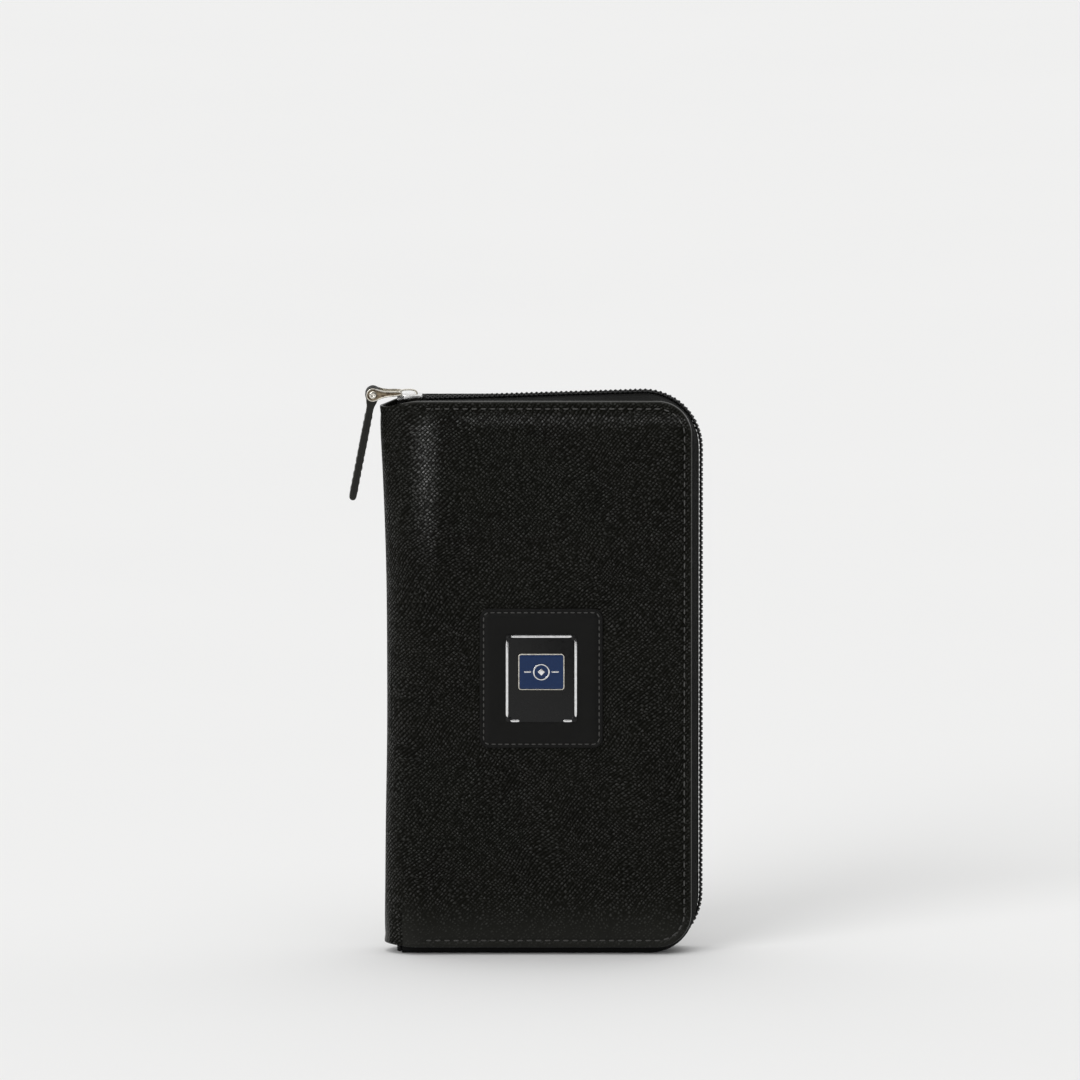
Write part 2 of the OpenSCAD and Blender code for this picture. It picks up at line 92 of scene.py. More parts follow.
# ---------- Measures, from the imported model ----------

cover_low, cover_high = cad_box("rear_leather")
spine_low, spine_high = cad_box("spine_leather")
HALF_D = cover_high[1]
COVER_RIGHT, COVER_BOTTOM, COVER_TOP = cover_high[0], cover_low[2], cover_high[2]
SPINE_BOTTOM, SPINE_TOP = spine_low[2], spine_high[2]
SPINE_R = HALF_D
CORNER = 14.0
COVER_T = HALF_D - cover_low[1]
S_FLAT = SPINE_R * math.pi / 2
S_RIGHT = S_FLAT + COVER_RIGHT - SPINE_R
FOLD_SPLITS = [SPINE_R * math.radians(a) for a in (30, 60)]
SEAM_INSET = 3.0
STITCH_PITCH = 3.7

patch_low, patch_high = cad_box("badge_patch")
BADGE_X, BADGE_Z = (patch_low[0] + patch_high[0]) / 2, (patch_low[2] + patch_high[2]) / 2
PATCH_W, PATCH_H = patch_high[0] - patch_low[0], patch_high[2] - patch_low[2]

# The zipper: right, top, lower and corner lines at the covers' edge and at the coil
coil_high = cad_box("rear_coil")[1]
tape_low, tape_high = cad_box("rear_zip_tape")
COIL_T = coil_high[2] - tape_high[2]
APEX = dict(right=tape_high[0], top=tape_high[2], r=22.3)
EDGE = dict(right=COVER_RIGHT - 0.3, top=COVER_TOP - 0.3, r=13.7)
ZIP_SLOPE = math.radians(1.8)
ZIP_START = tape_low[0]
FRONT_ZIP_START = cad_box("front_coil")[0][0]
FRONT_TOP_START = 15.6
COIL_PITCH = 2.0

# ---------- Mathematics ----------


def mix(a, b, share):
    return a + (b - a) * share


def smooth(t):
    t = np.clip(t, 0, 1)
    return t * t * (3 - 2 * t)


def unit(v):
    return v / np.maximum(np.linalg.norm(v, axis=-1, keepdims=True), 1e-9)


def along(points):
    """Length walked along a line of points, at each point."""
    steps = np.linalg.norm(np.diff(points, axis=0), axis=1)
    return np.concatenate([[0], np.cumsum(steps)])


def resample(points, count):
    """The line again with evenly spaced points."""
    walked = along(points)
    at = np.linspace(0, walked[-1], count)
    return np.stack([np.interp(at, walked, points[:, k]) for k in range(points.shape[1])], 1)


# ---------- Meshes ----------


def grid_faces(rows, cols, wrap_rows=False, wrap_cols=False, start=0):
    r = np.arange(rows if wrap_rows else rows - 1)
    c = np.arange(cols if wrap_cols else cols - 1)
    i, j = np.meshgrid(r, c, indexing="ij")
    i2, j2 = (i + 1) % rows, (j + 1) % cols
    quads = np.stack([i * cols + j, i * cols + j2, i2 * cols + j2, i2 * cols + j], -1)
    return (quads.reshape(-1, 4) + start).tolist()


def make_piece(name, points, faces, material, body=None, flat=None, edge=None, polish=None,
               sharp=40, merge=False):
    """A mesh piece from points in drawing millimetres. flat holds each point's place on the unrolled
    hide or tape, for the grain; edge is 1 at a worn edge and polish 1 where hands have polished it."""
    mesh = bpy.data.meshes.new(name)
    mesh.from_pydata(place(points).tolist(), [], faces)
    flat = np.asarray(points if flat is None else flat, np.float32)
    mesh.attributes.new("flat", "FLOAT_VECTOR", "POINT").data.foreach_set("vector", flat.ravel())
    for label, shares in (("edge", edge), ("polish", polish)):
        shares = np.zeros(len(points)) if shares is None else shares
        shares = np.asarray(shares, np.float32)
        mesh.attributes.new(label, "FLOAT", "POINT").data.foreach_set("value", shares)
    bm = bmesh.new()
    bm.from_mesh(mesh)
    if merge:
        bmesh.ops.remove_doubles(bm, verts=bm.verts, dist=2e-6)
    bmesh.ops.recalc_face_normals(bm, faces=bm.faces)
    bm.to_mesh(mesh)
    bm.free()
    mesh.polygons.foreach_set("use_smooth", [True] * len(mesh.polygons))
    mesh.set_sharp_from_angle(angle=math.radians(sharp))
    piece = bpy.data.objects.new(name, mesh)
    bpy.context.scene.collection.objects.link(piece)
    mesh.materials.append(material)
    if body:
        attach(piece, body)
    return piece


def stack_meshes(parts):
    """Several (points, faces) as one."""
    points, faces, start = [], [], 0
    for p, f in parts:
        points.append(p)
        faces += [[i + start for i in face] for face in f]
        start += len(p)
    return np.concatenate(points), faces


def sweep(centres, across, up, section, closed=False):
    """A tube along centres. section is a closed outline of (across, up) offsets, one for all or one
    for each centre."""
    section = np.asarray(section, float)
    if section.ndim == 2:
        section = np.repeat(section[None], len(centres), 0)
    points = (centres[:, None] + across[:, None] * section[..., :1] + up[:, None] * section[..., 1:])
    n, m = points.shape[:2]
    faces = grid_faces(n, m, wrap_rows=closed, wrap_cols=True)
    if not closed:
        faces += [list(range(m))[::-1], [(n - 1) * m + k for k in range(m)]]
    return points.reshape(-1, 3), faces


def round_section(width, height, corner, steps=4):
    """Outline of a rounded rectangle."""
    out = []
    for k, (sx, sz) in enumerate([(1, 1), (-1, 1), (-1, -1), (1, -1)]):
        for a in np.linspace(0, 90, steps):
            angle = math.radians(90 * k + a)
            centre = (sx * (width / 2 - corner), sz * (height / 2 - corner))
            out.append((centre[0] + corner * math.cos(angle), centre[1] + corner * math.sin(angle)))
    return np.array(out)


def circle(r, steps=24):
    a = np.linspace(0, 2 * math.pi, steps, endpoint=False)
    return np.stack([r * np.cos(a), r * np.sin(a)], 1)


def stacked_outlines(outlines, ys):
    """A solid through outlines in the x-z plane, one at each y, closed at both ends."""
    points = np.array([[(p[0], y, p[1]) for p in line] for line, y in zip(outlines, ys)])
    n, m = points.shape[:2]
    faces = grid_faces(n, m, wrap_cols=True)
    faces += [list(range(m)), [(n - 1) * m + k for k in range(m)][::-1]]
    return points.reshape(-1, 3), faces


def inset_outline(outline, d):
    """A closed outline drawn in by d, along the normals of its points."""
    ahead, behind = np.roll(outline, -1, 0), np.roll(outline, 1, 0)
    t = unit(ahead - behind)
    normal = np.stack([-t[:, 1], t[:, 0]], 1)
    return outline + normal * d


def bevelled(outline, y_back, y_front, bevel, rim=0, sink=0):
    """A plate with a rounded front edge, and where rim is given a face sunk inside that rim."""
    turn = 1 if y_front > y_back else -1
    steps = [(0, y_back)]
    for a in (0, 30, 60, 90):
        a = math.radians(a)
        steps.append((bevel * (1 - math.cos(a)), y_front - turn * bevel * (1 - math.sin(a))))
    if rim:
        steps += [(rim, y_front), (rim + sink, y_front - turn * sink)]
    return stacked_outlines([inset_outline(outline, d) for d, _ in steps], [y for _, y in steps])


def closed_line(outline, count):
    """A closed outline again, with evenly spaced points."""
    return resample(np.concatenate([outline, outline[:1]]), count + 1)[:-1]


def set_at(outline, y):
    """Points of an x-z outline, standing at y."""
    return np.stack([outline[:, 0], np.full(len(outline), y), outline[:, 1]], 1)


def capped(rings):
    """A stack of closed rings as a solid, as (points, faces)."""
    n, m = rings.shape[:2]
    ends = [list(range(m)), [(n - 1) * m + k for k in range(m)][::-1]]
    return rings.reshape(-1, 3), grid_faces(n, m, wrap_cols=True) + ends


def end_quads(n, m):
    """Quads that close both ends of a band whose n rows are folded back on themselves."""
    return [[k * m + col, (k + 1) * m + col, (n - 2 - k) * m + col, (n - 1 - k) * m + col]
            for col in (0, m - 1) for k in range(n // 2 - 1)]


def moved(mesh, turn):
    """A (points, faces) mesh with its points turned by a function."""
    return turn(mesh[0]), mesh[1]


def add_part(name, mesh, material, body, nodes, slot, **more):
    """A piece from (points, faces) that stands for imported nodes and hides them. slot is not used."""
    piece = make_piece(name, *mesh, material, body, **more)
    if nodes:
        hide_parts(*nodes)
    return piece


# ---------- Materials ----------


class Graph:
    """A material's node tree, with short calls for its nodes."""

    def __init__(self, name, **uniform):
        self.material = bpy.data.materials.new(name)
        self.material.use_nodes = True
        self.tree = self.material.node_tree
        self.shader = self.tree.nodes["Principled BSDF"]
        for socket, value in uniform.items():
            self.shader.inputs[socket.replace("_", " ")].default_value = value

    def add(self, kind, inputs=None, out=0, **settings):
        node = self.tree.nodes.new("ShaderNode" + kind)
        for key, value in settings.items():
            setattr(node, key, value)
        for key, value in (inputs or {}).items():
            self.feed(node.inputs[key], value)
        return node.outputs[out]

    def feed(self, socket, value):
        if isinstance(value, bpy.types.NodeSocket):
            self.tree.links.new(value, socket)
        else:
            socket.default_value = value

    def set(self, socket, value):
        self.feed(self.shader.inputs[socket], value)

    def math(self, operation, a, b=0.0, clamp=False):
        return self.add("Math", {0: a, 1: b}, operation=operation, use_clamp=clamp)

    def spread(self, value, low, high, to_low=0.0, to_high=1.0):
        """Maps a value from one span to another, smoothly."""
        return self.add("MapRange", {0: value, 1: low, 2: high, 3: to_low, 4: to_high},
                        interpolation_type="SMOOTHSTEP")

    def colour(self, share, low, high):
        return self.add("Mix", {0: share, 6: (*low, 1), 7: (*high, 1)}, out=2, data_type="RGBA")

    def noise(self, vector, scale, detail=3.0):
        return self.add("TexNoise", {"Vector": vector, "Scale": scale, "Detail": detail})

    def flat(self):
        """Place on the unrolled piece, in millimetres."""
        return self.add("Attribute", out=1, attribute_name="flat")

    def share_of(self, label):
        """A share stored on the mesh, such as edge or polish."""
        return self.add("Attribute", out=2, attribute_name=label)

    def object_mm(self):
        where = self.add("TexCoord", out=3)
        return self.add("VectorMath", {0: where, "Scale": 1000.0}, operation="SCALE")

    def bump(self, height, depth, strength=1.0, under=None):
        inputs = {"Height": height, "Distance": depth * MM, "Strength": strength}
        if under is not None:
            inputs["Normal"] = under
        return self.add("Bump", inputs)


def grained_leather(name, row=1.2, depth=0.3, lean=50, base=(0.0075, 0.0076, 0.0056), rough=0.3,
                    level=0.32):
    """Black leather stamped with raised grains in slanting, wavy rows; row is the rows' spacing."""
    g = Graph(name)
    flat = g.flat()
    drift = g.add("TexNoise", {"Vector": flat, "Scale": 0.035, "Detail": 1.0}, out=1)
    drift = g.add("VectorMath", {0: drift, 1: (0.5, 0.5, 0.5)}, operation="SUBTRACT")
    drift = g.add("VectorMath", {0: drift, "Scale": 8.0}, operation="SCALE")
    warped = g.add("VectorMath", {0: flat, 1: drift}, operation="ADD")
    rows = g.add("Mapping", {"Vector": warped, "Rotation": (0, 0, math.radians(-lean)),
                             "Scale": (0.88 / row, 1 / row, 1 / row)})
    rows = g.add("VectorMath", {0: rows, 1: (1, 1, 0)}, operation="MULTIPLY")
    cells = {"Vector": rows, "Scale": 1.0, "Randomness": 0.55}
    creases = g.add("TexVoronoi", cells, feature="DISTANCE_TO_EDGE")
    cell = g.add("SeparateColor", {0: g.add("TexVoronoi", cells, out=1)})
    across = g.add("SeparateXYZ", {0: rows}, out=1)
    ridge = g.math("COSINE", g.math("MULTIPLY", across, 2 * math.pi))
    ridge = g.spread(ridge, 1.0, -1.0)
    grain = g.spread(creases, 0.0, 0.46)
    grain = g.math("MULTIPLY", grain, g.spread(cell, 0.0, 1.0, 0.75, 1.1))
    grain = g.math("ADD", g.math("MULTIPLY", grain, 0.72), g.math("MULTIPLY", ridge, 0.28))
    fine = g.noise(flat, 2.6, 4.0)
    height = g.math("ADD", grain, g.math("MULTIPLY", fine, 0.14))
    worn = g.share_of("edge")
    cloud = g.noise(flat, 0.045, 3.0)
    grain = g.math("MAXIMUM", grain, g.math("MULTIPLY", worn, 0.8))
    polish = g.share_of("polish")
    # light hardly reaches the bottom of the creases
    shine = g.spread(grain, 0.1, 0.85, 0.02, level)
    shine = g.math("MULTIPLY", shine, g.spread(polish, 0.0, 1.0, 1.0, 5.0))
    g.set("Specular IOR Level", shine)
    # the base colour is darkest at the bottom of the creases and lightest on the grain tops: painted shade,
    # with a random cloud and lighter worn edges on top of it
    tone = g.math("ADD", g.math("MULTIPLY", grain, 0.6), g.math("MULTIPLY", cloud, 0.3))
    tone = g.math("ADD", tone, g.math("MULTIPLY", worn, 0.15), clamp=True)
    g.set("Base Color", g.colour(tone, tuple(c * 0.25 for c in base), tuple(c * 1.9 for c in base)))
    gloss = g.math("ADD", g.spread(grain, 0.0, 1.0, rough + 0.25, rough), g.math("MULTIPLY", cloud, 0.1))
    gloss = g.math("SUBTRACT", gloss, g.math("MULTIPLY", polish, 0.08))
    g.set("Roughness", g.math("SUBTRACT", gloss, g.math("MULTIPLY", worn, 0.1)))
    g.set("Normal", g.bump(height, depth, g.spread(worn, 0.0, 1.0, 1.0, 0.12)))
    return g.material


def smooth_leather(name):
    g = Graph(name, Specular_IOR_Level=0.14)
    flat = g.flat()
    pores = g.add("TexVoronoi", {"Vector": flat, "Scale": 2.6, "Randomness": 1.0},
                  feature="DISTANCE_TO_EDGE")
    pores = g.spread(pores, 0.0, 0.16)
    cloud = g.noise(flat, 0.16, 4.0)
    worn = g.share_of("edge")
    tone = g.math("ADD", g.math("MULTIPLY", cloud, 0.7), g.math("MULTIPLY", worn, 0.4), clamp=True)
    g.set("Base Color", g.colour(tone, (0.0025, 0.0025, 0.0022), (0.0065, 0.0064, 0.0057)))
    g.set("Roughness", g.spread(cloud, 0.3, 0.7, 0.36, 0.46))
    g.set("Normal", g.bump(g.math("ADD", pores, g.math("MULTIPLY", cloud, 0.4)), 0.025))
    return g.material


def woven_tape(name, period=1.5, thread=0.52, base=(0.0042, 0.0044, 0.004)):
    """Herringbone tape: ribs that lean one way and the other in bands along it."""
    g = Graph(name, Roughness=0.82, Specular_IOR_Level=0.09, Sheen_Weight=0.02, Sheen_Roughness=0.5)
    split = g.add("SeparateXYZ", {0: g.flat()})
    u, v = split, split.node.outputs[1]
    zigzag = g.math("PINGPONG", v, period)
    ribs = g.math("SINE", g.math("MULTIPLY", g.math("ADD", u, zigzag), 2 * math.pi / thread))
    cross = g.math("SINE", g.math("MULTIPLY", v, 2 * math.pi / (thread * 0.8)))
    fuzz = g.noise(g.flat(), 6.0, 3.0)
    height = g.math("ADD", ribs, g.math("MULTIPLY", cross, 0.35))
    share = g.math("ADD", g.spread(height, -1.3, 1.3, 0.1, 0.8), g.math("MULTIPLY", fuzz, 0.3), clamp=True)
    g.set("Base Color", g.colour(share, tuple(c * 0.4 for c in base), tuple(c * 2.1 for c in base)))
    g.set("Normal", g.bump(g.math("ADD", height, g.math("MULTIPLY", fuzz, 1.2)), 0.06))
    return g.material


def twill(name, low, high, thread=0.6):
    """Lining cloth with a diagonal rib."""
    g = Graph(name, Roughness=0.75, Specular_IOR_Level=0.3, Sheen_Weight=0.3, Sheen_Roughness=0.4)
    split = g.add("SeparateXYZ", {0: g.flat()})
    u, v = split, split.node.outputs[1]
    ribs = g.math("SINE", g.math("MULTIPLY", g.math("ADD", u, v), 2 * math.pi / thread))
    weft = g.math("SINE", g.math("MULTIPLY", u, 2 * math.pi / (thread * 0.7)))
    cloud = g.noise(g.flat(), 0.2, 4.0)
    height = g.math("ADD", ribs, g.math("MULTIPLY", weft, 0.4))
    share = g.math("ADD", g.spread(height, -1.4, 1.4, 0.0, 0.75), g.math("MULTIPLY", cloud, 0.3), clamp=True)
    g.set("Base Color", g.colour(share, low, high))
    g.set("Normal", g.bump(height, 0.05))
    return g.material


def thread_material(name, low, high):
    g = Graph(name, Roughness=0.48, Specular_IOR_Level=0.6, Sheen_Weight=0.2)
    split = g.add("SeparateXYZ", {0: g.flat()})
    u, v = split, split.node.outputs[1]
    twist = g.math("SINE", g.math("MULTIPLY", g.math("ADD", u, v), 2 * math.pi))
    fuzz = g.noise(g.object_mm(), 9.0)
    share = g.math("ADD", g.spread(twist, -1.0, 1.0, 0.2, 0.7), g.math("MULTIPLY", fuzz, 0.3), clamp=True)
    g.set("Base Color", g.colour(share, low, high))
    g.set("Normal", g.bump(twist, 0.05))
    return g.material


def nylon(name):
    g = Graph(name, Specular_IOR_Level=0.3)
    where = g.object_mm()
    cloud = g.noise(where, 0.8, 4.0)
    g.set("Base Color", g.colour(cloud, (0.0015, 0.0015, 0.0015), (0.005, 0.005, 0.0048)))
    g.set("Roughness", g.spread(cloud, 0.3, 0.7, 0.3, 0.5))
    g.set("Normal", g.bump(g.noise(where, 5.0), 0.03))
    return g.material


def metal(name, bright, dark, rough, patina=0.5, scratch=0.012):
    """Polished metal with cloudy tarnish and fine scratches along it."""
    g = Graph(name, Metallic=1.0)
    where = g.object_mm()
    cloud = g.noise(where, 0.55, 5.0)
    speck = g.noise(where, 3.5, 5.0)
    share = g.math("ADD", g.spread(cloud, 0.35, 0.7), g.math("MULTIPLY", speck, 0.3))
    share = g.math("MULTIPLY", share, patina, clamp=True)
    g.set("Base Color", g.colour(share, bright, dark))
    g.set("Roughness", g.spread(share, 0.0, 1.0, rough, rough + 0.22))
    lines = g.add("Mapping", {"Vector": where, "Scale": (1.2, 9.0, 9.0)})
    g.set("Normal", g.bump(g.noise(lines, 2.0, 4.0), scratch))
    return g.material


def enamel(name):
    g = Graph(name, Roughness=0.3, Coat_Weight=0.2, Coat_Roughness=0.08, Specular_IOR_Level=0.2)
    cloud = g.noise(g.object_mm(), 1.6, 4.0)
    g.set("Base Color", g.colour(cloud, (0.002, 0.014, 0.06), (0.004, 0.028, 0.105)))
    g.set("Normal", g.bump(g.noise(g.object_mm(), 0.7, 2.0), 0.03))
    return g.material


def lacquer(name):
    g = Graph(name, Specular_IOR_Level=0.25)
    cloud = g.noise(g.object_mm(), 0.5, 4.0)
    g.set("Base Color", g.colour(cloud, (0.004, 0.004, 0.004), (0.008, 0.008, 0.008)))
    g.set("Roughness", g.spread(cloud, 0.3, 0.7, 0.26, 0.36))
    g.set("Normal", g.bump(g.noise(g.object_mm(), 6.0, 2.0), 0.006))
    return g.material


HIDE = grained_leather("hide_leather")
STRAP_LEATHER = grained_leather("strap_leather", row=1.1, depth=0.12, rough=0.32, level=0.26)
POCKET_LEATHER = grained_leather("pocket_leather", row=1.1, depth=0.09, base=(0.012, 0.012, 0.0115))
PATCH_LEATHER = smooth_leather("patch_leather")
TAPE = woven_tape("zip_tape_weave")
LINING = twill("lining_twill", (0.006, 0.006, 0.0065), (0.03, 0.03, 0.033))
THREAD = thread_material("seam_thread", (0.01, 0.01, 0.0095), (0.07, 0.068, 0.062))
NYLON = nylon("coil_nylon")
CHROME = metal("bright_nickel", (0.86, 0.86, 0.87), (0.5, 0.49, 0.46), 0.09, patina=0.35)
AGED = metal("aged_nickel", (0.36, 0.29, 0.2), (0.08, 0.056, 0.036), 0.26, patina=1.0, scratch=0.02)
AGED_RIM = metal("aged_nickel_rim", (0.8, 0.77, 0.7), (0.4, 0.36, 0.28), 0.16, patina=0.5)
ENAMEL = enamel("blue_enamel")
LACQUER = lacquer("black_lacquer")

# ---------- The hide: covers and spine ----------

FLARE_TOP, FLARE_BOTTOM, WAIST = 3.0, 1.3, 0.8
CROWN = 0.9
N_RUN, N_ARC, N_SIDE = 84, 16, 150
RING_INSETS = [10, 8, 6.6, 5.4, 4.6, 4.0, 3.6, 3.3, 3.0, 2.7, 2.4, 2.0, 1.5, 1.1]
RIM = [(0.66, 0.16), (0.3, 0.42), (0.08, 0.85), (0, 1.35), (0, 2.5), (0.08, 2.95), (0.3, 3.3),
       (0.7, 3.45)]


def hide_top(s):
    return mix(SPINE_TOP, COVER_TOP, smooth((np.abs(s) - 4) / 16))


def hide_bottom(s):
    return mix(SPINE_BOTTOM, COVER_BOTTOM, smooth((np.abs(s) - 6) / 14))


def thickness_share(s):
    """Share of the cover's full thickness: the spine has neither foam nor board."""
    return mix(0.36, 1.0, smooth((np.abs(s) - 11) / 10))


def spine_shift(z):
    """How far the outside of the spine stands out: pushed out at both ends, drawn in between."""
    top = FLARE_TOP * np.exp((z - SPINE_TOP) / 24)
    bottom = FLARE_BOTTOM * np.exp((SPINE_BOTTOM - z) / 9)
    waist = WAIST * np.sin(math.pi * np.clip((z - SPINE_BOTTOM) / (SPINE_TOP - SPINE_BOTTOM), 0, 1)) ** 2
    return top + bottom - waist


def hide_point(s, z, depth):
    """Point of the hide: s along it from the middle of the spine, depth below its outer face."""
    turn = np.clip(s / SPINE_R, -math.pi / 2, math.pi / 2)
    past = np.abs(s - SPINE_R * turn)
    out = HALF_D - depth
    x = SPINE_R - out * np.cos(turn) + past - spine_shift(z) * np.cos(turn) ** 2
    y = -out * np.sin(turn)
    return np.stack([x, y, np.broadcast_to(z, x.shape)], -1)


def edge_distance(s, z):
    """Distance inwards from the nearest free edge of the hide."""
    s = np.abs(s)
    d = np.minimum(np.minimum(z - hide_bottom(s), hide_top(s) - z), S_RIGHT - s)
    ds = s - (S_RIGHT - CORNER)
    for middle, sign in ((COVER_BOTTOM + CORNER, -1), (COVER_TOP - CORNER, 1)):
        dz = sign * (z - middle)
        in_corner = (ds > 0) & (dz > 0)
        d = np.where(in_corner, CORNER - np.hypot(ds, dz), d)
    return d


def spine_bulge(s, z):
    """Share of the bulge beside the spine, which stands fullest near the top."""
    rise = np.maximum((206 - z) / 36, (z - 213) / 8)
    return np.exp(-(((np.abs(s) - 23.5) / 5) ** 2) - np.maximum(rise, 0) ** 2)


def outer_depth(s, z, d, badge):
    """Depth of the outer face below the plane of the cover; below zero where the padding swells."""
    seam = 0.36 * np.exp(-(((d - SEAM_INSET) / 0.6) ** 2)) * smooth((np.abs(s) - S_FLAT) / 3)
    swell = CROWN * (1 - np.exp(-np.maximum(d - 3.4, 0) / 5.0))
    swell += 1.1 * spine_bulge(s, z)
    swell += 0.3 * np.exp(-(((np.abs(s) - 22) / 6) ** 2) - ((z - 16) / 10) ** 2)
    swell += 0.12 * np.sin(0.052 * s + 0.9) * np.sin(0.033 * z + 0.4) * smooth((d - 4) / 10)
    swell += 0.05 * np.sin(0.14 * s - 0.09 * z) * smooth((d - 4) / 10)
    if badge:
        x = np.abs(s) - S_FLAT + SPINE_R
        out = np.maximum(np.abs(x - BADGE_X) - PATCH_W / 2, np.abs(z - BADGE_Z) - PATCH_H / 2)
        swell = swell * mix(0.05, 1.0, smooth((out + 1) / 9)) - 0.12 * np.exp(-((out / 1.3) ** 2))
    return 0.04 + seam - swell


def hide_ring(s_start, inset):
    """Line inside the three free edges of one half of the hide, from its lower to its upper end."""
    r = CORNER - inset
    bend = S_RIGHT - CORNER
    run = np.linspace(s_start, bend, N_RUN + 1)
    low_arc = np.radians(np.linspace(-90, 0, N_ARC + 1))
    high_arc = np.radians(np.linspace(0, 90, N_ARC + 1))
    low, high = COVER_BOTTOM + CORNER, COVER_TOP - CORNER
    side = np.linspace(low, high, N_SIDE + 1)
    stretches = [
        np.stack([run, hide_bottom(run) + inset], 1)[:-1],
        np.stack([bend + r * np.cos(low_arc), low + r * np.sin(low_arc)], 1)[:-1],
        np.stack([np.full(N_SIDE + 1, S_RIGHT - inset), side], 1)[:-1],
        np.stack([bend + r * np.cos(high_arc), high + r * np.sin(high_arc)], 1)[:-1],
        np.stack([run[::-1], hide_top(run[::-1]) - inset], 1),
    ]
    return np.concatenate(stretches)


CORNER_AT = N_RUN + N_ARC // 2
SIDE_AT = N_ARC + N_SIDE


def fill_ring(ring):
    """Grid of points inside a ring of hide_ring, rows going up and columns away from the spine."""
    low, high = ring[:CORNER_AT + 1], ring[::-1][:CORNER_AT + 1]
    right = ring[CORNER_AT:CORNER_AT + SIDE_AT + 1]
    v = np.linspace(0, 1, SIDE_AT + 1)[:, None, None]
    u = np.linspace(0, 1, CORNER_AT + 1)[None, :, None]
    left = ring[0] + (ring[-1] - ring[0]) * v[:, 0]
    corners = mix(mix(low[0], low[-1], u), mix(high[0], high[-1], u), v)
    return mix(low[None], high[None], v) + mix(left[:, None], right[:, None], u) - corners


def layer_rows(insets, s, count):
    """z of the rows of a hide strip at s: the insets above the lower edge, even rows, the insets again."""
    inner = insets[0]
    low, high = hide_bottom(s), hide_top(s)
    bottom = [low + d for d in insets[::-1]]
    middle = [mix(low + inner, high - inner, k / count) for k in range(1, count)]
    top = [high - d for d in insets]
    return np.array(bottom + middle + top)


def cover_piece(name, s_start, rear, material, span, depth_of, back_depth, rings, rim):
    """Half of the hide, or of its lining, as a closed skin: outer face, rim, back.
    rings and rim give the insets of the outer face's rings and the (inset, depth) of the rim's."""
    lines, depths = [], []
    for d in rings:
        ring = hide_ring(s_start, d)
        lines.append(ring)
        depths.append(depth_of(ring[:, 0], ring[:, 1], np.full(len(ring), float(d))))
    for d, depth in rim:
        ring = hide_ring(s_start, d)
        lines.append(ring)
        depths.append(depth * thickness_share(ring[:, 0]))
    for d in (rings[0] / 3, rings[0]):
        ring = hide_ring(s_start, d)
        lines.append(ring)
        depths.append(back_depth * thickness_share(ring[:, 0]))
    sz = np.stack(lines)
    depth = np.stack(depths)
    n, m = depth.shape
    face = fill_ring(sz[0])
    face_depth = depth_of(face[..., 0], face[..., 1], edge_distance(face[..., 0], face[..., 1]))
    face_depth[0], face_depth[-1] = depth[0][: CORNER_AT + 1], depth[0][::-1][: CORNER_AT + 1]
    face_depth[:, -1] = depth[0][CORNER_AT:CORNER_AT + SIDE_AT + 1]
    back_shape = back_depth * thickness_share(face[..., 0])
    s = np.concatenate([sz[..., 0].ravel(), face[..., 0].ravel(), face[..., 0].ravel()])
    z = np.concatenate([sz[..., 1].ravel(), face[..., 1].ravel(), face[..., 1].ravel()])
    h = np.concatenate([depth.ravel(), face_depth.ravel(), back_shape.ravel()])
    rows, cols = face.shape[:2]
    front_start, back_start = n * m, n * m + rows * cols
    faces = grid_faces(n, m)
    faces += grid_faces(rows, cols, start=front_start)
    faces += [f[::-1] for f in grid_faces(rows, cols, start=back_start)]
    # the side at the spine, where the next strip of hide begins
    for k in range(rows - 1):
        a, b = front_start + k * cols, back_start + k * cols
        faces.append([a, a + cols, b + cols, b])
    faces.append([i * m for i in range(n)])
    faces.append([i * m + m - 1 for i in range(n)][::-1])
    points = hide_point(s, z, h)
    if rear:
        points[:, 1] *= -1
    flat = np.stack([-s if rear else s, z, h], 1)
    worn = np.exp(-np.maximum(edge_distance(s, z), 0) / 0.7) * (h < 1.6)
    # the grain is pressed flatter towards the foot, and the swollen edge under the top seam shines
    worn = np.maximum(worn, 0.62 * smooth((36 - z) / 34))
    crest = 0.5 * np.exp(-(((hide_top(s) - z - 7.5) / 2.6) ** 2)) * smooth((np.abs(s) - 24) / 20)
    polish = np.maximum(spine_bulge(s, z), crest)
    piece = make_piece(name, points, faces, material, flat=flat, edge=worn, polish=polish, merge=True)
    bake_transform(piece)
    return piece


def strip_piece(name, s_from, s_to, material, bodies, span, depth_of, back_depth, rings, rim):
    """Strip of the spine between two fold splits, closed all round, with its neighbours' rows."""
    cols = []
    for s in np.linspace(s_from, s_to, 9):
        low, high = hide_bottom(s), hide_top(s)
        zs, hs = [], []
        z_rows = layer_rows(list(rings), s, SIDE_AT)
        zs += z_rows.tolist()
        d = np.minimum(z_rows - low, high - z_rows)
        hs += depth_of(np.full(len(z_rows), s), z_rows, d).tolist()
        share = float(thickness_share(s))
        inner, back_at = rings[0], back_depth * share
        down = [(high - d, depth * share) for d, depth in rim] + [(high - inner / 3, back_at)]
        back = [(mix(high - inner, low + inner, k / SIDE_AT), back_at) for k in range(SIDE_AT + 1)]
        up = [(low + inner / 3, back_at)] + [(low + d, depth * share) for d, depth in rim[::-1]]
        for z, h in down + back + up:
            zs.append(z)
            hs.append(h)
        cols.append(np.stack([np.full(len(zs), s), np.array(zs), np.array(hs)], 1))
    cols = np.array(cols)
    n, m = cols.shape[:2]
    flat = cols.reshape(-1, 3)
    faces = grid_faces(n, m, wrap_cols=True)
    half = m // 2
    # each end is closed by quads between the outer and the inner rows
    for start in (0, (n - 1) * m):
        for k in range(half - 1):
            a, b = k, m - 1 - k
            faces.append([start + a, start + a + 1, start + b - 1, start + b])
    points = hide_point(flat[:, 0], flat[:, 1], flat[:, 2])
    piece = make_piece(name, points, faces, material, flat=flat)
    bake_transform(piece)
    return piece


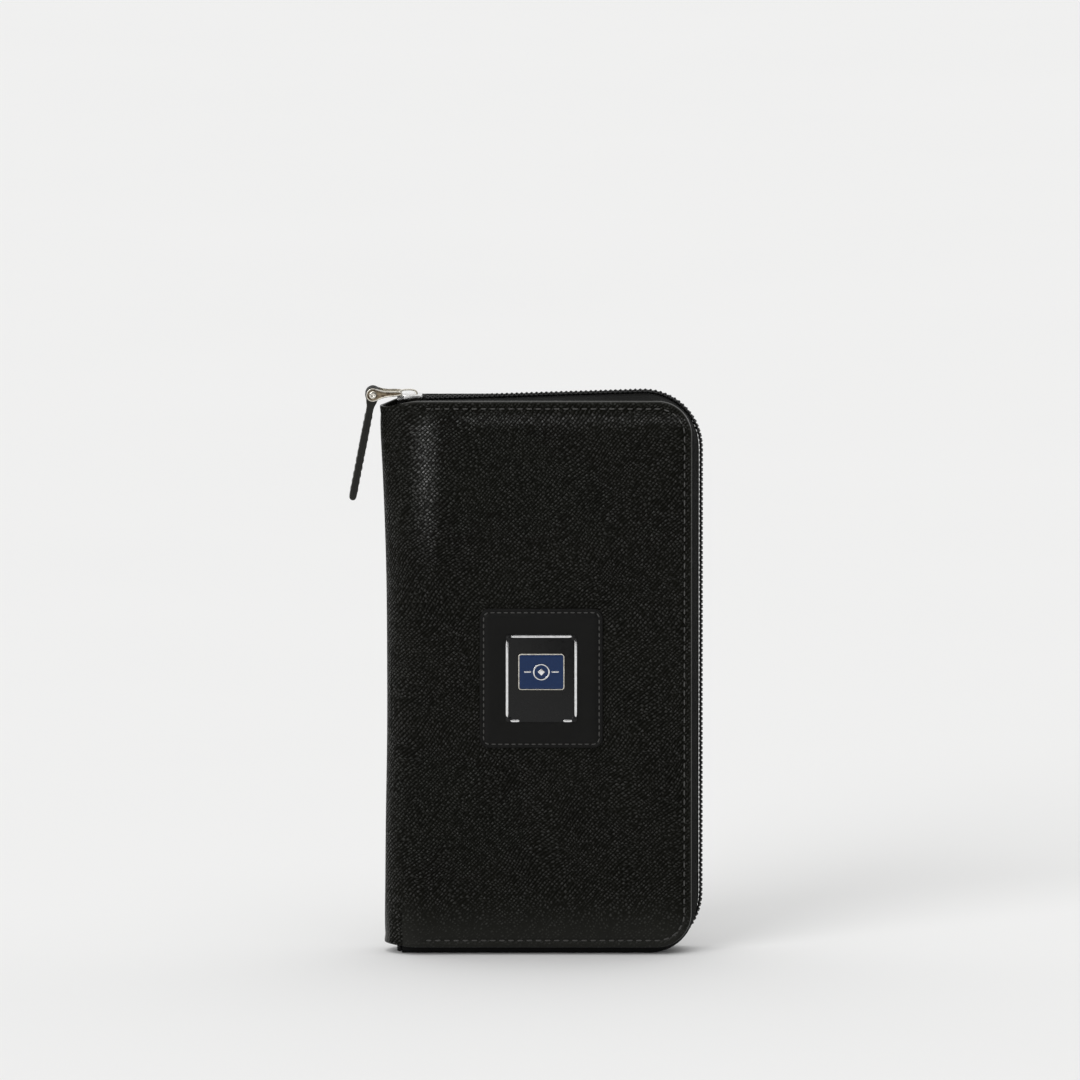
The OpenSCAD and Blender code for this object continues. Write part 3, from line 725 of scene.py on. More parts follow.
def fold_span(k):
    """Ends of the stretch over which the hide turns at fold line k: one body lies wholly before it, the
    other wholly beyond."""
    angles = [math.radians(30 * k + a) for a in (4, 26)]
    ends = [[SPINE_R * (1 - math.cos(a)), -SPINE_R * math.sin(a), 115.0] for a in angles]
    if k == 0:
        ends[1][0] = ends[0][0]
    return place(ends)


FOLD_BODIES = [("rear_cover", "spine_fold_a"), ("spine_fold_a", "spine_fold_b"),
               ("spine_fold_b", "front_cover")]


def hide_layer(label, material, depth_of, back_depth, rings, rim, replaced):
    """One layer of the organizer as three pieces, split along the spine."""
    pieces = [
        cover_piece(label + "_rear", -FOLD_SPLITS[0], True, material, fold_span(0),
                    lambda s, z, d: depth_of(s, z, d, False), back_depth, rings, rim),
        strip_piece(label + "_fold", *FOLD_SPLITS, material, FOLD_BODIES[1], fold_span(1),
                    lambda s, z, d: depth_of(s, z, d, False), back_depth, rings, rim),
        cover_piece(label + "_front", FOLD_SPLITS[1], False, material, fold_span(2),
                    lambda s, z, d: depth_of(s, z, d, True), back_depth, rings, rim),
    ]
    for piece, nodes in zip(pieces, replaced):
        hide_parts(*nodes)
    return pieces


hide_rear, _, hide_front = hide_layer(
    "leather", HIDE, outer_depth, COVER_T, RING_INSETS, RIM,
    [["rear_leather", "spine_leather", "rear_foam", "rear_board"], ["fold_a_leather"],
     ["fold_b_leather", "front_leather", "front_foam", "front_board"]])

LINING_DEPTH, LINING_T = 4.0, 0.42
LINING_INSET = 2.8


def lining_depth(s, z, d, badge):
    """The lining's hidden face; its visible face lies LINING_T further in."""
    return (LINING_DEPTH - LINING_T) * thickness_share(s)


lining_rear, _, lining_front = hide_layer(
    "lining", LINING, lining_depth, LINING_DEPTH, [10, LINING_INSET],
    [(LINING_INSET, LINING_DEPTH - 0.1)],
    [["rear_lining", "spine_lining"], ["fold_a_lining"], ["fold_b_lining", "front_lining"]])

# ---------- Stitching ----------


def stitches(centres, tangents, normals, length, radius):
    """One thread per centre, dipping into its holes at both ends."""
    t = np.linspace(-1, 1, 9)
    fat = radius * np.sqrt(np.clip(1 - np.abs(t) ** 5, 0.05, 1))
    ring = circle(1.0, 8)
    across = np.cross(tangents, normals)
    centre = (centres[:, None] + tangents[:, None] * (t * length / 2)[None, :, None]
              - normals[:, None] * (0.24 * np.abs(t) ** 3)[None, :, None])
    points = (centre[:, :, None] + across[:, None, None] * (fat[:, None] * ring[:, 0])[None, :, :, None]
              + normals[:, None, None] * (0.8 * fat[:, None] * ring[:, 1])[None, :, :, None])
    count, rows, cols = points.shape[:3]
    faces = []
    for k in range(count):
        start = k * rows * cols
        faces += grid_faces(rows, cols, wrap_cols=True, start=start)
        faces.append([start + i for i in range(cols)][::-1])
        faces.append([start + (rows - 1) * cols + i for i in range(cols)])
    u = np.broadcast_to((t * length * 1.3)[None, :, None], points.shape[:3])
    v = np.broadcast_to(np.linspace(0, 1, cols)[None, None, :], points.shape[:3])
    flat = np.stack([u, v, np.zeros_like(u)], -1).reshape(-1, 3)
    return points.reshape(-1, 3), faces, flat


def stitch_piece(name, line, normal, body, node, pitch=STITCH_PITCH, length=2.3, radius=0.3):
    count = max(2, round(along(line)[-1] / pitch))
    even = resample(line, 2 * count + 1)
    centres, tangents = even[1::2], unit(even[2::2] - even[:-1:2])
    normals = np.broadcast_to(np.array(normal, float), centres.shape)
    points, faces, flat = stitches(centres, tangents, normals, length, radius)
    piece = make_piece(name, points, faces, THREAD, body, flat=flat)
    if node:
        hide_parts(node)
    return piece


for side, body, node in ((-1, "front_cover", "front_stitching"), (1, "rear_cover", "rear_stitching")):
    ring = hide_ring(S_FLAT + 2, SEAM_INSET)
    line = set_at(ring - [S_FLAT - SPINE_R, 0], side * (HALF_D - 0.2))
    stitch_piece("stitching_front" if side < 0 else "stitching_rear", line, (0, side, 0), body, node)

# ---------- Main zipper ----------

TAPE_Y = np.array([10.2, 9.6, 8.9, 8.1, 7.2, 6.1, 5.0, 4.1, 3.4, 2.9, 2.3, 1.5, 0.7])
TAPE_SHARE = np.interp(TAPE_Y[::-1], [0.6, 2.9, 3.9, 6.15, 8.4, 9.5, 10.2],
                       [1, 1, 0.86, 0.62, 0.3, 0.12, 0.0])[::-1]
TAPE_LOW = np.interp(TAPE_Y[::-1], [0.6, 2.9, 3.6, 5.0, 6.15, 7.3, 8.4, 9.6, 10.2],
                     [COIL_T, COIL_T, 1.1, 0.25, 0.03, 0.3, 1.2, 2.6, 3.4])[::-1]
TAPE_T = 0.55
COIL_Y, COIL_HALF_Y, COIL_HALF_N = 1.52, 0.88, 0.46
COIL_LIFT, COIL_WIRE_R = 0.88, 0.36
CORE_LIFT, CORE_R = 0.68, 0.4


def zip_line(start, right, top, low, r, slope, inset=0.0):
    """Line of the zipper round the organizer, from its lower to its upper end, as x and z."""
    right, top, low, r = right - inset, top - inset, low + inset, r - inset
    a = np.radians(np.linspace(-90, 0, 15))
    b = np.linspace(0, math.pi / 2 + slope, 15)
    corner = np.stack([right - r + r * np.cos(b), top - r + r * np.sin(b)], 1)
    run_x = np.linspace(corner[-1][0], start[1], 60)
    run_z = corner[-1][1] - (corner[-1][0] - run_x) * math.tan(slope)
    return np.concatenate([
        np.stack([np.linspace(start[0], right - r, 60), np.full(60, low)], 1)[:-1],
        np.stack([right - r + r * np.cos(a), low + r + r * np.sin(a)], 1)[:-1],
        np.stack([np.full(100, right), np.linspace(low + r, top - r, 100)], 1)[:-1],
        corner[:-1],
        np.stack([run_x, run_z], 1),
    ])


def tape_piece(name, side, start, body, node):
    """Zipper tape arched from a cover's edge up to the coil."""
    levels = []
    for y, share, low in zip(TAPE_Y, TAPE_SHARE, TAPE_LOW):
        args = (mix(EDGE["right"], APEX["right"], share), mix(EDGE["top"], APEX["top"], share), low,
                mix(EDGE["r"], APEX["r"], share), ZIP_SLOPE * share)
        for inset in (0.0, TAPE_T):
            line = zip_line(start, *args, inset=inset)
            levels.append(set_at(line, side * y))
    outer, inner = levels[0::2], levels[1::2][::-1]
    loop = np.stack(outer + inner)
    n, m = loop.shape[:2]
    mesh = (loop.reshape(-1, 3), grid_faces(n, m, wrap_rows=True) + end_quads(n, m))
    half = n // 2
    walked = along(loop[half // 2][:, [0, 2]])
    flat = np.stack([np.broadcast_to(walked, (n, m)), loop[..., 1], np.zeros((n, m))], -1).reshape(-1, 3)
    piece = add_part(name, mesh, TAPE, body, [node], "zipper_tape", flat=flat, sharp=50)


def coil(line_xz, y_middle, half_y, radius, lift, half_n, pitch, phase, steps=12):
    """A nylon coil wound along a line, as (points, faces)."""
    length = along(line_xz)[-1]
    count = int(length / pitch * steps)
    at = np.linspace(0, length, count)
    walked = along(line_xz)
    xz = np.stack([np.interp(at, walked, line_xz[:, k]) for k in range(2)], 1)
    tangent = unit(np.gradient(xz, axis=0))
    out = np.stack([tangent[:, 1], -tangent[:, 0]], 1)
    angle = 2 * math.pi * (at / pitch + phase)
    height = lift + half_n * np.sin(angle)
    centre = np.stack([xz[:, 0] + out[:, 0] * height, y_middle + half_y * np.cos(angle),
                       xz[:, 1] + out[:, 1] * height], 1)
    forward = unit(np.gradient(centre, axis=0))
    base = np.stack([tangent[:, 0], np.zeros(count), tangent[:, 1]], 1)
    across = unit(np.cross(forward, base))
    up = np.cross(across, forward)
    return sweep(centre, across, up, circle(radius, 6))


def coil_piece(name, side, start, body, node, phase):
    """One cover's coil, wound round a straight core."""
    line = zip_line(start, APEX["right"], APEX["top"], COIL_T, APEX["r"], ZIP_SLOPE)
    line = resample(line, 900)
    wound = coil(line, side * COIL_Y, COIL_HALF_Y, COIL_WIRE_R, COIL_LIFT, COIL_HALF_N, COIL_PITCH, phase)
    tangent = unit(np.gradient(line, axis=0))
    up = np.stack([tangent[:, 1], np.zeros(len(line)), -tangent[:, 0]], 1)
    centres = set_at(line, side * COIL_Y) + up * CORE_LIFT
    core = sweep(centres, np.tile([0.0, 1, 0], (len(line), 1)), up, circle(CORE_R, 10))
    add_part(name, stack_meshes([wound, core]), NYLON, body, [node], "zipper_coil")


front_start, rear_start = (FRONT_ZIP_START, FRONT_TOP_START), (ZIP_START, ZIP_START)
tape_piece("tape_front", -1, front_start, "front_cover", "front_zip_tape")
tape_piece("tape_rear", 1, rear_start, "rear_cover", "rear_zip_tape")
coil_piece("coil_front", -1, front_start, "front_cover", "front_coil", 0.0)
coil_piece("coil_rear", 1, rear_start, "rear_cover", "rear_coil", 0.5)


def stop_piece(name, body, node):
    """Metal clamp bent round the lower end of a coil."""
    low, high = cad_box(node)
    centre = (low + high) / 2
    size = high - low
    section = round_section(size[1], size[2], 0.6, 5)
    xs = np.linspace(low[0], high[0], 7)
    swell = 1 - 0.18 * np.abs(np.linspace(-1, 1, 7)) ** 4
    centres = np.stack([xs, np.full(7, centre[1]), np.full(7, centre[2])], 1)
    across, up = np.tile([0.0, 1, 0], (7, 1)), np.tile([0.0, 0, 1], (7, 1))
    mesh = sweep(centres, across, up, section[None] * swell[:, None, None])
    add_part(name, mesh, LACQUER, body, [node], "badge_black")


stop_piece("zip_stop_front", "front_cover", "front_zip_stop")
stop_piece("zip_stop_rear", "rear_cover", "rear_zip_stop")


def spine_end_piece(name, node):
    """Tape end folded over to close an end of the spine, slightly domed, with a raised hem."""
    low, high = cad_box(node)
    radius = SPINE_R - low[0]
    angles = np.radians(np.linspace(-50, 90, 40))
    rim = [(SPINE_R - radius * math.cos(a), radius * math.sin(a)) for a in angles]
    rim += [(high[0], high[1] - 0.7), (high[0], 3.0), (SPINE_R - 0.6, 2.0), (SPINE_R - 0.6, low[1])]
    outline = closed_line(np.array(rim), 96)
    centre = outline.mean(0)
    rows = []
    for share, z in ((0.0, low[2] + 0.5), (0.6, low[2]), (1.0, low[2] + 0.2), (1.0, high[2] - 0.2),
                     (0.96, high[2]), (0.86, high[2] - 0.12), (0.8, high[2] - 0.3), (0.5, high[2] - 0.45),
                     (0.0, high[2] - 0.5)):
        ring = centre + (outline - centre) * max(share, 0.002)
        rows.append(np.stack([ring[:, 0], ring[:, 1], np.full(len(ring), z)], 1))
    loop = np.stack(rows)
    mesh = (loop.reshape(-1, 3), grid_faces(*loop.shape[:2], wrap_cols=True))
    add_part(name, mesh, TAPE, "rear_cover", [node], "zipper_tape")


spine_end_piece("spine_end_upper", "spine_end_top")
spine_end_piece("spine_end_lower", "spine_end_bottom")

# ---------- Slider, clip and puller ----------

PIVOT, EYE = joint_point("pull_swing"), joint_point("puller_swing")
LOCAL_PIVOT = np.array([1.8, 3.32])
LOCAL_EYE = LOCAL_PIVOT + np.array([-11.2, -0.2])
SLIDER_LEN, SLIDER_HALF = 10.6, 4.2
NOSE_LEN, FLANGE_IN, WEB_HALF = 3.4, 3.2, 0.22
TOP_PLATE_Z, FOOT_Z = 1.82, 2.52
LOWER_PLATE_Z, LOWER_PLATE_T = -2.5, 0.7
EYE_R, NECK_R = 2.7, 0.75
CHEEK_Y, CHEEK_T = 3.7, 0.9


def in_slider(points):
    """Points of the slider's own frame, x along the zipper and z off the tape, in the drawing."""
    p = np.array(points, float)
    dx, dz = p[:, 0] - LOCAL_PIVOT[0], p[:, 2] - LOCAL_PIVOT[1]
    c, s = math.cos(ZIP_SLOPE), math.sin(ZIP_SLOPE)
    p[:, 0] = PIVOT[0] + dx * c - dz * s
    p[:, 2] = PIVOT[2] + dx * s + dz * c
    return p


def plan_plate(width, z0, z1, bevel, dome=0.0):
    """Slider plate seen from above: a round nose, shoulders and a slightly drawn-in tail."""
    half = width / 2
    quarter = np.linspace(0, math.pi / 2, 12)
    x = np.concatenate([NOSE_LEN * (1 - np.cos(quarter)), [6.0, 8.4, 9.8, SLIDER_LEN]])
    y = np.concatenate([(half - 0.9) * np.sin(quarter), [half, half, half, half - 0.35]])
    outline = closed_line(np.concatenate([np.stack([x, y], 1), np.stack([x[::-1], -y[::-1]], 1)[:-1]]), 80)
    centre = np.array([SLIDER_LEN / 2, 0])
    rings = []
    for inset, z in ((2.5, z0), (bevel, z0), (0, z0 + bevel), (0, z1 - bevel),
                     (bevel * 0.4, z1 - bevel * 0.3), (bevel, z1), (2.5, z1 + dome)):
        ring = centre + (outline - centre) * (1 - inset / half)
        rings.append(np.stack([ring[:, 0], ring[:, 1], np.full(len(ring), z)], 1))
    return capped(np.stack(rings))


def side_flange(y_in, y_out):
    """Side wall of the slider, low at the nose and full height at the tail."""
    outline = np.array([(3.2, 1.5), (4.4, 0.75), (5.6, 0.42), (9.4, 0.36), (10.3, 0.6), (10.55, 1.1),
                        (10.4, 2.2), (3.6, 2.2)])
    return bevelled(closed_line(outline, 60)[::-1], y_in, y_out, 0.22)


def bar(x0, x1, half_y, z0, z1):
    """Plain web inside the slider, between its plates."""
    section = round_section(2 * half_y, z1 - z0, min(half_y, 0.2), 4)
    centres = np.array([[x0, 0, (z0 + z1) / 2], [x1, 0, (z0 + z1) / 2]])
    return sweep(centres, np.tile([0.0, 1, 0], (2, 1)), np.tile([0.0, 0, 1], (2, 1)), section)


def slider_shell():
    """The slider's two plates, its flanges and the web between them."""
    mesh = stack_meshes([
        plan_plate(2 * SLIDER_HALF, TOP_PLATE_Z, FOOT_Z, 0.28, dome=0.12),
        plan_plate(2 * SLIDER_HALF - 1, LOWER_PLATE_Z, LOWER_PLATE_Z + LOWER_PLATE_T, 0.22),
        side_flange(FLANGE_IN, SLIDER_HALF),
        side_flange(-FLANGE_IN, -SLIDER_HALF),
        bar(0.4, 3.6, WEB_HALF, LOWER_PLATE_Z + 0.4, TOP_PLATE_Z + 0.3),
    ])
    add_part("slider_shell", moved(mesh, in_slider), CHROME, "slider", ["slider_body"], "bright_metal")


def arch(x0, x1, z0, height, steps=40):
    """Line of the bail: out of one foot, over an oval crown, into the other foot."""
    a = np.linspace(math.pi, 0, steps)
    x = (x0 + x1) / 2 + (x1 - x0) / 2 * np.sign(np.cos(a)) * np.abs(np.cos(a)) ** 0.8
    z = z0 + height * np.abs(np.sin(a)) ** 0.72
    return np.stack([x, np.zeros(steps), z], 1)


def slider_loop():
    """The bail on the slider, a little wider at its feet."""
    line = arch(0.95, 8.45, FOOT_Z - 0.15, 1.98)
    tangent = unit(np.gradient(line, axis=0))
    up = np.stack([-tangent[:, 2], np.zeros(len(line)), tangent[:, 0]], 1)
    across = np.tile([0.0, 1, 0], (len(line), 1))
    widths = 1.35 + 0.25 * np.abs(np.linspace(-1, 1, len(line))) ** 3
    sections = np.stack([round_section(width, 0.72, 0.3, 5) for width in widths])
    mesh = moved(sweep(line, across, up, sections), in_slider)
    add_part("slider_loop", mesh, AGED_RIM, "slider", ["slider_bail"], "bright_metal")


def teardrop(steps=28):
    """Outline of a cheek: a large arc round the eye and a small one round the pivot."""
    reach = LOCAL_PIVOT[0] - LOCAL_EYE[0]
    lean = math.asin((EYE_R - NECK_R) / reach)
    big = np.linspace(math.pi / 2 - lean, 3 * math.pi / 2 + lean, steps)
    small = np.linspace(-math.pi / 2 + lean, math.pi / 2 - lean, 10)
    round_eye = LOCAL_EYE + EYE_R * np.stack([np.cos(big), np.sin(big)], 1)
    round_pivot = LOCAL_PIVOT + NECK_R * np.stack([np.cos(small), np.sin(small)], 1)
    even = closed_line(np.concatenate([round_eye, round_pivot]), 96)
    # the flanks are drawn in a little between the two arcs
    share = np.clip((even[:, 0] - LOCAL_EYE[0]) / reach, 0, 1)
    middle = mix(LOCAL_EYE[1], LOCAL_PIVOT[1], share)
    even[:, 1] = middle + (even[:, 1] - middle) * (1 - 0.3 * np.sin(math.pi * share) ** 2)
    return even


def clip_pieces():
    """Two cheeks joined by a rod at the pivot: raised rims round darker, sunk faces."""
    rims, plates = [], []
    for side in (-1, 1):
        inner, outer = side * CHEEK_Y, side * (CHEEK_Y + CHEEK_T)
        rims.append(bevelled(teardrop(), inner, outer, 0.2, rim=0.42, sink=0.16))
        sunk = inset_outline(teardrop(), 0.46)
        plates.append(bevelled(sunk, outer - side * 0.5, outer - side * 0.1, 0.05))
    rod_line = np.array([[LOCAL_PIVOT[0], y, LOCAL_PIVOT[1]] for y in np.linspace(-4.4, 4.4, 9)])
    rod = sweep(rod_line, np.tile([1.0, 0, 0], (9, 1)), np.tile([0.0, 0, 1], (9, 1)), circle(0.55, 16))
    for name, parts, material in (("clip_frame", rims + [rod], AGED_RIM), ("clip_faces", plates, AGED)):
        mesh = moved(stack_meshes(parts), in_slider)
        add_part(name, mesh, material, "pull", ["pull_clip"], "aged_metal")


def lathe(profile, centre, steps=28):
    """Solid turned about the y axis through centre (x, z): profile lists (radius, y)."""
    rings = [set_at(np.array(centre) + circle(max(r, 0.001), steps), y) for r, y in profile]
    return capped(np.stack(rings))


def clip_rivet():
    """Domed heads of the pin, one outside each cheek."""
    cheek = CHEEK_Y + CHEEK_T
    head = [(0.3, 0.22), (0.62, 0.25), (0.75, 0.38), (1.1, 0.39), (1.42, 0.28), (1.58, 0.02), (1.1, -0.1),
            (0.9, -0.8)]
    heads = [lathe([(r, side * (cheek + rise)) for r, rise in head], LOCAL_EYE) for side in (-1, 1)]
    mesh = moved(stack_meshes(heads), in_slider)
    add_part("clip_rivet", mesh, AGED_RIM, "pull", ["pull_pin"], "aged_metal")


slider_shell()
slider_loop()
clip_pieces()
clip_rivet()

STRAP_HALF, STRAP_T, STRAP_LEN = 3.5, 2.9, 44.0
STRAP_LEAN = math.radians(11)
STRAP_STITCHES = 11
LOOP_R = 3.1


def hang(points):
    """Turns points drawn hanging straight down from the eye by the puller's lean, at the eye."""
    p = np.array(points, float)
    c, s = math.cos(STRAP_LEAN), math.sin(STRAP_LEAN)
    x, z = p[:, 0].copy(), p[:, 2].copy()
    p[:, 0] = EYE[0] + x * c + z * s
    p[:, 2] = EYE[2] - x * s + z * c
    return p


def strap_outline():
    """Side view of leather folded round the pin and sewn to itself: a loop above, two layers below."""
    turns = np.linspace(math.radians(-42), math.radians(222), 44)
    loop = [(LOOP_R * math.cos(a), LOOP_R * math.sin(a)) for a in turns]
    t = STRAP_T / 2
    neck = [(-mix(LOOP_R * 0.74, t, smooth(k / 6)), -2.1 - 0.62 * k) for k in range(1, 8)]
    down = [(-t * (1 - 0.05 * math.sin(0.25 * z)), -z) for z in np.linspace(8, STRAP_LEN - 3, 26)]
    end = [(-t * math.cos(a), -(STRAP_LEN - t) - t * math.sin(a)) for a in np.linspace(0, math.pi / 2, 6)]
    left = neck + down + end
    right = [(-x, z) for x, z in left[::-1][1:]]
    return closed_line(np.array(loop + left + right), 220)


def puller_leather():
    """The folded strap, with rounded cut edges polished by use."""
    half = STRAP_HALF
    levels = [(0.5, -half), (0.2, -half + 0.06), (0.04, -half + 0.3), (0, -half + 0.7), (0.03, -1.6),
              (0.03, 1.6), (0, half - 0.7), (0.04, half - 0.3), (0.2, half - 0.06), (0.5, half)]
    outlines = [inset_outline(strap_outline(), d) for d, _ in levels]
    points, faces = stacked_outlines(outlines, [y for _, y in levels])
    worn = smooth((np.abs(points[:, 1]) - half + 1.0) / 0.5)
    return add_part("puller_leather", (hang(points), faces), STRAP_LEATHER, "puller", ["puller_strap"],
                    "leather", flat=points[:, [1, 2, 0]], edge=worn)


def puller_stitches():
    """A row of stitches along both edges of both faces."""
    rows = []
    for side in (-1, 1):
        for face in (-1, 1):
            x, y = face * (STRAP_T / 2 - 0.02), side * (STRAP_HALF - 1.1)
            line = np.array([[x, y, z] for z in np.linspace(-8, -41, 30)])
            even = resample(line, 2 * STRAP_STITCHES + 1)
            centres, tangents = even[1::2], unit(even[2::2] - even[:-1:2])
            normals = np.tile([face * 1.0, 0, 0], (len(centres), 1))
            rows.append(stitches(centres, tangents, normals, 2.2, 0.22)[:2])
    return make_piece("puller_stitches", *moved(stack_meshes(rows), hang), THREAD, "puller")


def puller_joint_and_shade():
    """Black strip between the strap's two layers, along its cut edges: the joint line, drawn dark as painted
    shade of the groove between them.
    """
    half_t, high, low = 0.17, -7.5, 2 - STRAP_LEN
    outline = np.array([(-half_t, high), (half_t, high), (half_t, low), (-half_t, low)])
    mesh = stacked_outlines([outline, outline], [-STRAP_HALF - 0.02, STRAP_HALF + 0.02])
    return make_piece("puller_joint_and_shade", *moved(mesh, hang), LACQUER, "puller")


for piece in (puller_leather(), puller_stitches(), puller_joint_and_shade()):
    tuple(place(EYE))
    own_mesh(piece)

# ---------- Badge ----------

FRONT_Y = -HALF_D
plate_low, plate_high = cad_box("badge_plate")
bezel_low, bezel_high = cad_box("badge_bezel")
PLATE_TOP = plate_low[1]
PLATE_BACK = PLATE_TOP + 0.1
BEZEL_SPAN = (bezel_low[0], bezel_high[0], bezel_low[2], bezel_high[2])
PATCH_CORNER, BEZEL_CORNER = 4, 1.2
PATCH_SEAM = 1.6


def rounded_outline(x0, x1, z0, z1, r, steps=8):
    """Outline of a rounded rectangle between two corners."""
    outline = round_section(x1 - x0, z1 - z0, r, steps)
    return outline + np.array([(x0 + x1) / 2, (z0 + z1) / 2])


def rounded_rings(x0, x1, z0, z1, r, levels):
    """A plate through (inset, y) levels, each a rounded rectangle."""
    outlines = [rounded_outline(x0 + d, x1 - d, z0 + d, z1 - d, max(r - d, 0.3)) for d, _ in levels]
    return stacked_outlines(outlines, [y for _, y in levels])


def badge_patch():
    """Leather patch: sewn down all round, softly swollen between the seam and the plate."""
    x0, x1, z0, z1 = patch_low[0], patch_high[0], patch_low[2], patch_high[2]
    levels = [(0, 0.5), (0.0, 0.0), (0.06, -0.35), (0.22, -0.62), (0.55, -0.74), (0.95, -0.68),
              (1.35, -0.5), (1.6, -0.44), (1.85, -0.5), (2.2, -0.66), (2.8, -0.84), (3.8, -0.95),
              (5.5, -0.95), (8, -0.84), (9.8, -0.72), (12, -0.68)]
    mesh = rounded_rings(x0, x1, z0, z1, PATCH_CORNER, [(d, FRONT_Y + y) for d, y in levels])
    inset = np.repeat([d for d, _ in levels], len(mesh[0]) // len(levels))
    add_part("badge_leather", mesh, PATCH_LEATHER, "front_cover", ["badge_patch"], "smooth_leather",
             flat=mesh[0][:, [0, 2, 1]], edge=np.exp(-inset / 0.6))
    d = PATCH_SEAM
    seam = rounded_outline(x0 + d, x1 - d, z0 + d, z1 - d, PATCH_CORNER - d)
    line = set_at(np.concatenate([seam, seam[:1]]), FRONT_Y - 0.55)
    stitch_piece("badge_seam", line, (0, -1, 0), "front_cover", "badge_stitching", pitch=2.7, length=1.9,
                 radius=0.24)


def badge_base():
    """Black plate under the frame, the rivets and the enamel."""
    outline = rounded_outline(plate_low[0], plate_high[0], plate_low[2], plate_high[2], 1.0)
    mesh = bevelled(outline, FRONT_Y - 0.5, PLATE_TOP, 0.15)
    add_part("badge_base", mesh, LACQUER, "front_cover", ["badge_plate"], "badge_black")


def badge_bar(a, b, thick, y_back, y_front):
    """Bar drawn to a point at both ends."""
    a, b = np.array(a, float), np.array(b, float)
    length = np.linalg.norm(b - a)
    t = (b - a) / length
    n = np.array([-t[1], t[0]])
    taper = min(1.2, length / 4)
    shares = [(0, 0.25), (taper * 0.4, 0.42), (taper, 0.5)]
    one = [a + t * d + n * thick * w for d, w in shares]
    one += [b - t * d + n * thick * w for d, w in shares[::-1]]
    two = [b - t * d - n * thick * w for d, w in shares]
    two += [a + t * d - n * thick * w for d, w in shares[::-1]]
    return bevelled(closed_line(np.array(one + two)[::-1], 60), y_back, y_front, 0.12)


def badge_silver():
    """Frame of the plate: whole bars at the sides and the top, short feet at the bottom corners."""
    x0, x1, z0, z1 = plate_low[0], plate_high[0], plate_low[2], plate_high[2]
    thick, gap, foot = 1.0, 2.0, 3.5
    left, right, bottom, top = x0 + thick / 2, x1 - thick / 2, z0 + thick / 2, z1 - thick / 2
    bars = [((left, z0 + gap), (left, z1 - gap)), ((right, z0 + gap), (right, z1 - gap)),
            ((x0 + gap, top), (x1 - gap, top)), ((x0 + gap, bottom), (x0 + gap + foot, bottom)),
            ((x1 - gap - foot, bottom), (x1 - gap, bottom))]
    mesh = stack_meshes([badge_bar(a, b, thick, PLATE_BACK, PLATE_TOP - 0.3) for a, b in bars])
    add_part("badge_silver", mesh, CHROME, "front_cover", ["badge_frame"], "bright_metal")


def badge_studs():
    """A low domed rivet in each corner of the plate."""
    inset = 1.25
    dome = [(0.95, PLATE_BACK), (0.95, PLATE_TOP - 0.15), (0.8, PLATE_TOP - 0.28), (0.5, PLATE_TOP - 0.34),
            (0.0, PLATE_TOP - 0.36)]
    mesh = stack_meshes([lathe(dome, (x, z)) for x in (plate_low[0] + inset, plate_high[0] - inset)
                         for z in (plate_low[2] + inset, plate_high[2] - inset)])
    add_part("badge_studs", mesh, LACQUER, "front_cover", ["badge_rivets"], "badge_black")


def badge_rim():
    """Rounded bezel round the enamel, open in the middle."""
    front = bezel_low[1]
    levels = [(0.0, PLATE_BACK), (0.0, front + 0.16), (0.08, front + 0.04), (0.2, front),
              (0.42, front + 0.05), (0.52, front + 0.2), (0.54, PLATE_BACK)]
    points, faces = rounded_rings(*BEZEL_SPAN, BEZEL_CORNER, levels)
    add_part("badge_rim", (points, faces[:-2]), AGED_RIM, "front_cover", ["badge_bezel"], "bright_metal")


def badge_blue():
    """Enamel inside the bezel, very slightly domed at its edge."""
    front = cad_box("badge_enamel")[0][1]
    levels = [(0.5, PLATE_BACK), (0.5, front + 0.02), (0.8, front - 0.04), (1.7, front - 0.02),
              (5.5, front)]
    mesh = rounded_rings(*BEZEL_SPAN, BEZEL_CORNER, levels)
    add_part("badge_blue", mesh, ENAMEL, "front_cover", ["badge_enamel"], "enamel")


def badge_emblem():
    """Generic motif: a ring round a diamond, with a short bar on each side."""
    low, high = cad_box("badge_motif")
    middle = (low + high) / 2
    centre = np.array([middle[0], middle[2]])
    y_back, y_front = high[1] + 0.1, low[1]
    steps, ring_r, reach, bar_at = 48, 3.1, 1.5, 5.6
    ring = set_at(circle(ring_r, steps) + centre, mix(y_back, y_front, 0.5))
    out = unit(ring - [middle[0], ring[0][1], middle[2]])
    section = round_section(0.6, abs(y_front - y_back), 0.12, 3)
    diamond = np.array([(reach, 0), (0, reach), (-reach, 0), (0, -reach)]) + centre
    parts = [sweep(ring, out, np.tile([0.0, 1, 0], (steps, 1)), section, closed=True),
             bevelled(closed_line(diamond, 32), y_back, y_front, 0.1)]
    for side in (-1, 1):
        x, z = centre[0] + side * bar_at, centre[1]
        parts.append(badge_bar((x - reach, z), (x + reach, z), 0.6, y_back, y_front))
    add_part("badge_emblem", stack_meshes(parts), CHROME, "front_cover", ["badge_motif"], "bright_metal")


badge_patch()
badge_base()
badge_silver()
badge_studs()
badge_rim()
badge_blue()
badge_emblem()

# ---------- Inside ----------


